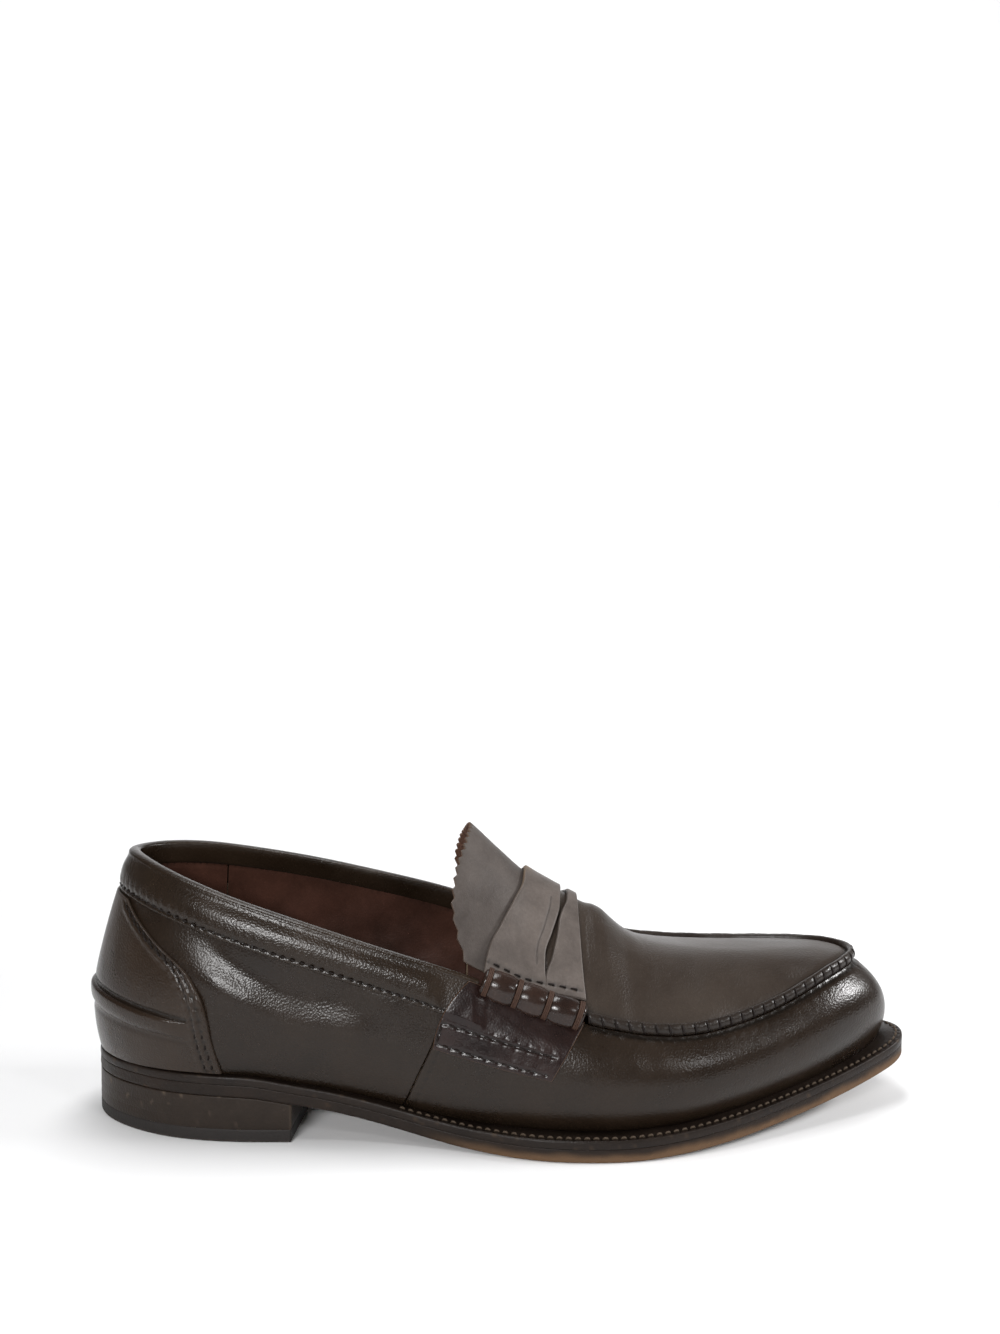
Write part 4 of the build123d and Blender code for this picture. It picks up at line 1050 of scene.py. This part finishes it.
loop_points = np.array(ROLL_OUT + ROLL_IN[::-1])
k = np.linspace(0, len(loop_points), 56, endpoint=False)
section = np.stack([closed_spline(loop_points[:, 0])(k), closed_spline(loop_points[:, 1])(k)], -1)
cords = []
for side, (back, front) in {"lateral": (6.30, 7.70), "medial": (20.32, 18.98)}.items():
    u = np.linspace(back, front, 120)
    share = np.linspace(0, 1, 120)
    near = np.min([np.abs(share - (0.05 + 0.3 * j)) for j in range(4)], axis=0)
    swell = 0.55 * smooth(0.0, 0.12, near) - 0.45 * np.exp(-(near / 0.03) ** 2)
    end = np.sqrt(np.clip(np.minimum(share, 1 - share) / 0.03, 0, 1)) * 1.2 - 1.2
    grid = roll_ring(section, u, (swell + end)[:, None, None])
    if side == "lateral":
        grid = grid[::-1]
    grid = np.concatenate([grid, grid[:, :1]], 1)
    # Painted shade where each wrap pinches the leather in.
    seat = np.exp(-(near / 0.035) ** 2)[:, None] * 0.7 + grid[..., 0] * 0
    put(skin("beef_roll_" + side, grid, [roll_mat], {"edge": grid[..., 0] * 0,
                                                     "dark": seat if side == "medial" else seat[::-1]}),
        "tab_leather", "beef_roll_" + side)
    for j in range(4):
        for turn in (-1, 0, 1):
            middle = back + (front - back) * (0.05 + 0.3 * j + turn * 0.0155)
            around = np.linspace(0.8, 7.4, 34)
            path = np.stack([closed_spline(loop_points[:, 0])(around),
                             closed_spline(loop_points[:, 1])(around)], -1)
            line = roll_ring(path, np.full(1, middle), 0.12)[0]
            way = np.gradient(line, axis=0)
            way = way / np.linalg.norm(way, axis=1, keepdims=True)
            nx, ny = outward(top_x, top_y, middle)
            tangent = np.array([-ny, nx, 0.0])
            normal = np.cross(way, tangent)
            ring = np.linspace(0, 2 * np.pi, 7)[:-1]
            beadings = 0.36 + 0.04 * np.sin(np.arange(34) * 1.9 + j)
            cords.append(line[:, None, :] + beadings[:, None, None] * (
                np.cos(ring)[None, :, None] * normal[:, None, :] + np.sin(ring)[None, :, None]
                                                                       * tangent[None, None, :]))
put(thread_mesh("roll_wraps", cords, wrap_mat), "thread", "roll_wraps")

# ======== Apron, its lining and the raised seam ========
# The apron closes the top of the forepart. Its edge and the vamp's stand up together as a lip, drawn
# tight by hand stitches that pucker the leather all the way round.
INSTEP = [(-26, 119.6, 38.5, 34.0), (-11.4, 106.4, 35.6, 31.0), (0, 95.8, 31.8, 27.0), (8.6, 88.2, 28.6,
                                                                                        24.0),
          (18, 82.7, 25.6, 21.4), (27.6, 77.6, 23.0, 19.2), (36, 73.4, 21.4, 17.6)]
APRON = [(8, 86.0, 28.6, 22.5, 1.0), (14, 83.1, 26.8, 21.5, 1.0), (24, 77.5, 24.6, 18.6, 1.0),
         (29, 75.3, 24.2, 17.8, 1.0),
         (32.5, 73.9, 23.8, 17.2, 1.0), (36.2, 72.0, 22.6, 15.6, 1.1), (40.7, 67.8, 19.6, 12.4, 1.3),
         (45.6, 63.6, 17.4, 9.4, 1.5), (55, 59.5, 15.2, 6.6, 1.9), (70, 57.4, 15.6, 5.4, 2.6),
         (85, 56.5, 18.2, 5.3, 3.8),
         (100, 56.2, 19.0, 5.6, 6.0), (118, 55.9, 12.6, 6.0, 9.0), (131, 54.9, 9.0, 5.0, 10.0),
         (142, 53.0, 8.0, 5.0, 10.0)]
STRAP = 1.6


def column(table, i, x):
    return steady_curve([row[0] for row in table], [row[i] for row in table])(x)


def saddle(table, x, y, centre, power):
    """Height of a saddle surface: a crest line with its own fall to each side."""
    reach = np.sqrt((y - centre) ** 2 + 9.0) ** power - 3.0 ** power
    unit = np.sqrt(32.0 ** 2 + 9.0) ** power - 3.0 ** power
    return column(table, 1, x) - np.where(y < centre, column(table, 2, x),
                                          column(table, 3, x)) * reach / unit


def instep_height(x, y):
    return saddle(INSTEP, x, y, 1.0, 1.45 + np.clip((28 - x) / 40, 0, 1) * 0.35)


def lean(height, x, y):
    sx = (height(x + 0.1, y) - height(x - 0.1, y)) / 0.2
    sy = (height(x, y + 0.1) - height(x, y - 0.1)) / 0.2
    return np.sqrt(1 + sx ** 2 + sy ** 2)


def apron_height(x, y):
    """The apron dips under the strap and comes up in a fold in front of it."""
    free = saddle(APRON, x, y, column(APRON, 4, x), 1.45 + np.clip((x - 34) / 22, 0, 1) * 0.55)
    under = instep_height(x, y) - (STRAP + 0.35) * lean(instep_height, x, y)
    w = smooth(28.8, 33.8, x)
    return under * (1 - w) + free * w


apron_mat = leather("apron_calf", (0.045, 0.032, 0.023), (0.029, 0.020, 0.0145), (0.024, 0.016, 0.012), 0.40,
                    patch=24, **calf)
for name, offset, deep, mat in (("apron", -1.75, 0.0, apron_mat), ("apron_lining", -3.6, 1.62, lining_mat)):
    u, arc = even(top_x, top_y, 7.0, 19.65, 1.0)
    nx, ny = outward(top_x, top_y, u)
    bx = top_x(u) + nx * offset
    by = top_y(u) + ny * offset
    gap = int(np.hypot(bx[0] - bx[-1], by[0] - by[-1]) / 1.5)
    close = np.linspace(0, 1, gap)[1:-1]
    bx = np.maximum(np.concatenate([bx, bx[-1] + (bx[0] - bx[-1]) * close]), 14.0)
    by = np.concatenate([by, by[-1] + (by[0] - by[-1]) * close])
    mx = np.clip(bx, 34, 104)
    my = column(APRON, 4, mx)
    share = np.concatenate([np.linspace(0, 0.86, 34), [0.89, 0.915, 0.935, 0.952, 0.966, 0.978, 0.988, 0.995,
                                                       1.0]])[None, :]
    x = mx[:, None] + (bx - mx)[:, None] * share
    y = my[:, None] + (by - my)[:, None] * share
    z = apron_height(x, y) - deep * lean(apron_height, x, y)
    base = np.stack([x, y, z], -1)
    edge_mm = np.hypot(x - bx[:, None], y - by[:, None])
    shown = (x > 30) * 1.0
    groove = np.exp(-(edge_mm / 1.5) ** 2) * (1.0 if name == "apron" else 0.0)
    dip = 0.7 * groove
    z = z - dip + (ripple(base, 40, 111) * 0.25 + ripple(base, 13, 112) * 0.07) * shown
    wave = np.exp(-((x - 49 - y * 0.06) / 7) ** 2) * np.sin(x / 1.7 + 1.2
                                                            * np.sin(y / 7.0)) * 0.09 * smooth(2, 14, edge_mm)
    outer = np.stack([x, y, z + wave], -1)
    thick = 1.25 if name == "apron" else 0.65
    lower = outer[:, ::-1] - np.array([0, 0, thick])
    lower[..., 2] += 0.5 * dip[:, ::-1]
    grid = np.concatenate([outer, lower], 1)
    # Painted shade in the groove along the apron's edge, next to the lip.
    dark = np.concatenate([0.75 * np.exp(-(edge_mm / 0.9) ** 2), edge_mm[:, ::-1] * 0], 1)
    put(skin(name, grid, [mat], {"edge": grid[..., 0] * 0, "dark": dark}, around=True),
        "upper_leather" if name == "apron" else "lining_leather", name)

LIP_OUT = [(0.0, 0.05), (0.7, 0.9), (0.95, 2.0), (0.75, 3.1), (0.1, 3.95), (-0.4, 4.1)]
LIP_IN = [(-1.0, 0.05), (-1.3, 0.9), (-1.55, 2.0), (-1.55, 2.9), (-1.2, 3.7), (-0.8, 4.0)]
lip_mat = leather("lip_calf", (0.030, 0.021, 0.0155), (0.015, 0.0095, 0.007), (0.05, 0.035, 0.025), 0.32,
                  patch=60, **calf)
LIP_PITCH = 4.6
lip_loop = np.array(LIP_OUT + LIP_IN[::-1])
lip_a = closed_spline(lip_loop[:, 0])
lip_b = closed_spline(lip_loop[:, 1])


def lip_point(u, k, grow=0.0):
    nx, ny = outward(top_x, top_y, u)
    a = lip_a(k)
    b = lip_b(k)
    away = np.stack([a + 0.3, b - 2.0], -1)
    away = away / np.linalg.norm(away, axis=-1, keepdims=True)
    a = a + away[..., 0] * grow
    b = b + away[..., 1] * grow
    return np.stack([top_x(u) + nx * a, top_y(u) + ny * a, top_z(u) + b], -1)


u, arc = even(top_x, top_y, 7.80, 18.86, 0.42)
k = np.linspace(0, len(lip_loop), 34)
uu, kk = np.meshgrid(u, k, indexing="ij")
phase = arc[:, None] / LIP_PITCH + 0.10 * (kk - 2.5)
saw = phase - np.floor(phase)
outside = np.exp(-((kk - 2.2) / 1.7) ** 2)
puff = (0.22 * np.sin(np.pi * saw) ** 0.7 - 0.30 * np.exp(-((saw - 0.5) ** 2 - 0.25) ** 2 / 0.004)) * outside
grid = lip_point(uu, kk, puff + 0.06 * np.sin(arc[:, None] / 2.1))
# Painted shade: over the lip's whole outer face, darker in each stitch notch, and in the groove at its foot.
shade = (0.28 + 0.62 * np.exp(-(np.minimum(saw, 1 - saw) / 0.11) ** 2)) * outside + 0.6 * np.exp(-(kk / 0.7) ** 2)
put(skin("apron_lip", grid, [lip_mat], {"edge": grid[..., 0] * 0, "dark": np.clip(shade, 0, 1)}),
    "upper_leather", "apron_lip")
cords = []
count = int(arc[-1] / LIP_PITCH)
for i in range(count):
    place = (i + 0.0) * LIP_PITCH
    j = np.linspace(0.35, 3.9, 9)
    here = np.interp(place + LIP_PITCH * (-0.10) * (j - 2.5) + 0.35 * (j - 2.0), arc, u)
    line = lip_point(here, j, 0.06)
    outside_line = lip_point(here, j, 1.0) - line
    way = np.gradient(line, axis=0)
    way = way / np.linalg.norm(way, axis=1, keepdims=True)
    up = outside_line / np.linalg.norm(outside_line, axis=1, keepdims=True)
    across_way = np.cross(way, up)
    ring = np.linspace(0, 2 * np.pi, 7)[:-1]
    fat = 0.34 * np.sqrt(np.clip(1 - np.abs(np.linspace(-1, 1, 9)) ** 4, 0.03, 1))
    cords.append(line[:, None, :] + fat[:, None, None] * (
        np.cos(ring)[None, :, None] * up[:, None, :] + np.sin(ring)[None, :, None] * across_way[:, None, :]))
lip_thread = thread_dark.copy()
lip_thread.name = "lip_thread"
lip_thread.node_tree.nodes["Principled BSDF"].inputs["Base Color"].default_value = (0.010, 0.006, 0.005, 1)
put(thread_mesh("apron_stitching", cords, lip_thread), "thread", "apron_stitching")

# ======== Saddle strap ========
# A greyer, scuffed strap across the instep with the coin slot cut through it. Its rear edge stands
# clear of the tongue and shows tan where it is cut, and its ends are sewn down above the rolls.
strap_mat = leather("strap_leather", (0.132, 0.110, 0.098), (0.076, 0.063, 0.056), (0.20, 0.135, 0.085),
                    0.46, patch=75, grain=0.4,
                    coat=0.05)
rear_x = steady_curve([-35.2, -31, -25, -17, -8, 1, 9.5, 18.5, 26, 31, 33.6], [-6.4, -4.6, -0.2, 4.4, 7.9,
                                                                               8.6, 7.9, 4.4, -0.4, -4.6,
                                                                               -6.2])
front_x = steady_curve([-35.2, -26, -12, 2, 16, 33.6], [28.5, 27.9, 27.6, 27.6, 27.7, 28.4])
slot_rear = steady_curve([-35.2, -31, -27, -20.5, -15.2, -11.5, -6, 1, 8, 13.5, 17.2, 22.5, 28, 31.4, 33.6],
                         [14.7, 14.7, 14.9, 17.6, 19.6, 20.6, 21.2, 21.6, 21.2, 20.6, 19.6, 17.6, 14.9, 14.5,
                          14.5])
slot_front = steady_curve([-35.2, -31.8, -27, -20.4, -15.4, -11.2, -6, 1, 8, 13.2, 17.4, 22.4, 28.6, 32.2,
                           33.6],
                          [14.7, 14.9, 17.2, 19.4, 20.4, 21.8, 23.6, 24.2, 23.6, 21.8, 20.4, 19.4, 17.2,
                           14.6, 14.5])
y = np.concatenate([[-35.2, -35.05, -34.85, -34.6], np.linspace(-34.2, 33.2, 175), [33.4, 33.52, 33.6]])
halves = []
for name, left, right in (("rear", rear_x, slot_rear), ("front", slot_front, front_x)):
    s = fine_ends(38, length=15)[:, None]
    yy = y[None, :] + s * 0
    xx = left(yy) + (right(yy) - left(yy)) * s
    base = np.stack([xx, yy, instep_height(xx, yy)], -1)
    open_gap = smooth(0.02, 0.5, slot_front(yy) - slot_rear(yy))
    toward = s if name == "rear" else 1 - s
    soft = 1 - (1 - open_gap) * smooth(0.7, 0.98, toward)
    k = np.linspace(-5.0, 27.2, 60)
    dark = base[..., 0] * 0
    move = ripple(base, 14, 121) * 0.10 + ripple(base, 5, 122) * 0.035
    # The end seams are pressed in, with shade painted into their grooves and holes.
    for side_y in (-33.3, 31.0):
        line = np.stack([k, k * 0 + side_y, instep_height(k, k * 0 + side_y)], -1)
        moved, shade = seam(base, line, 4.0, hole=0.3, pucker=0.12, dark=0.45)
        move = move + moved
        dark = np.maximum(dark, shade)
    # A crease behind the slot, pressed in and painted with shade.
    if name == "rear":
        k = np.linspace(-29.5, -9, 50)
        cx = slot_rear(k) - 3.4 - (k + 9) * 0.02
        moved, shade = seam(base, np.stack([cx, k, instep_height(cx, k)], -1), 0, width=0.35, depth=0.22,
                            dark=0.55)
        move = move + moved
        dark = np.maximum(dark, shade)
    scuff = np.clip(ripple(base * np.array([1, 1, 1.6]), 2.6, 124) * 1.5 - 0.95, 0, 1) * 0.35
    crown = np.exp(-((yy - 1) / 3.0) ** 2) * smooth(0.25, 0.0, s) * 0.6 if name == "rear" else 0
    halves.append((hide("strap_" + name, base, STRAP, [strap_mat], move,
                        {"dark": dark, "edge": np.clip(scuff + crown, 0, 1)},
                        cut=np.where(toward < 0.5, 0.75 * np.exp(-((yy - 1) / 13.0) ** 2) + 0.1,
                                     0.05) if name == "rear" else 0.06,
                        radius=0.6, soft=soft), name))
for obj, name in halves:
    put(obj, "upper_leather", "saddle_strap")
sewn = []
for side_y in (-33.3, 31.0):
    k = np.linspace(-4.0, 26.8, 60)
    line = np.stack([k, k * 0 + side_y, instep_height(k, k * 0 + side_y)], -1)
    normal = np.tile([0.35, -0.85 if side_y < 0 else 0.85, 0.6], (60, 1))
    sewn += stitches(line, normal, 4.0, 2.7, 0.36, -0.06)
put(thread_mesh("strap_stitching", sewn, thread_upper), "thread", "strap_stitching")

# ======== Tongue ========
# One layer of the same greyer leather with a suede underside. Its rear edge is pinked. On the shoe it
# bends up behind the strap when a foot goes in; here it keeps one shape, apart from the shoe's body.
TONGUE = 1.3
tongue_mat = leather("tongue_leather", (0.092, 0.077, 0.069), (0.054, 0.044, 0.039), (0.11, 0.085, 0.068),
                     0.48, patch=60, grain=0.4)
suede_mat = leather("tongue_suede", (0.20, 0.10, 0.068), (0.11, 0.055, 0.038), (0.13, 0.085, 0.06), 0.85,
                    patch=120, grain=1.0,
                    bump=0.0004)
tongue_rear = steady_curve([-33, -30, -26, -20, -10, 0, 10, 20, 27, 31],
                           [-13.2, -15.8, -17.6, -16.6, -13.4, -11.8, -13.4, -16.6, -18.3, -17.5])
tongue_front = steady_curve([-33.2, -31, -27.2, -22.5, -18, -15, -12, 12, 15, 18, 22.5, 27.2, 30.2],
                            [-2, -0.5, 2.5, 6, 9, 11, 12.4, 12.4, 11, 9, 6, 2, -1])
y = np.concatenate([[-33.2, -33.12, -33.0], np.arange(-33 + 0.2, 29.5, 0.2), [29.5, 29.62, 29.7]])
s = np.concatenate([[0.0, 0.008, 0.02, 0.035, 0.055], np.linspace(0.08, 0.97, 34), [0.985, 1.0]])[:, None]
yy = y[None, :] + s * 0
step = 62.5 / 52
tooth = np.abs(((yy + 33) / (2 * step)) % 1 - 0.5) * 2
teeth = -0.2 + 1.0 * (1 - tooth)
rear_line = tongue_rear(yy) + teeth
xx = rear_line + (tongue_front(yy) - rear_line) * s
zz = instep_height(xx, yy) - (STRAP + 0.45) * lean(instep_height, xx, yy)
base = np.stack([xx, yy, zz], -1)
move = (ripple(base, 16, 131) * 0.16 + ripple(base, 6, 132) * 0.06) * smooth(-2.0, -8.0, xx)
scuff = np.clip(ripple(base, 3.0, 134) * 1.4 - 0.85, 0, 1) * 0.4
tongue = hide("tongue", base, TONGUE, [tongue_mat, suede_mat], move, {"edge": scuff}, cut=0.8, radius=0.35,
              under=1)
put(tongue, "upper_leather", "tongue", body=None)
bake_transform(tongue)
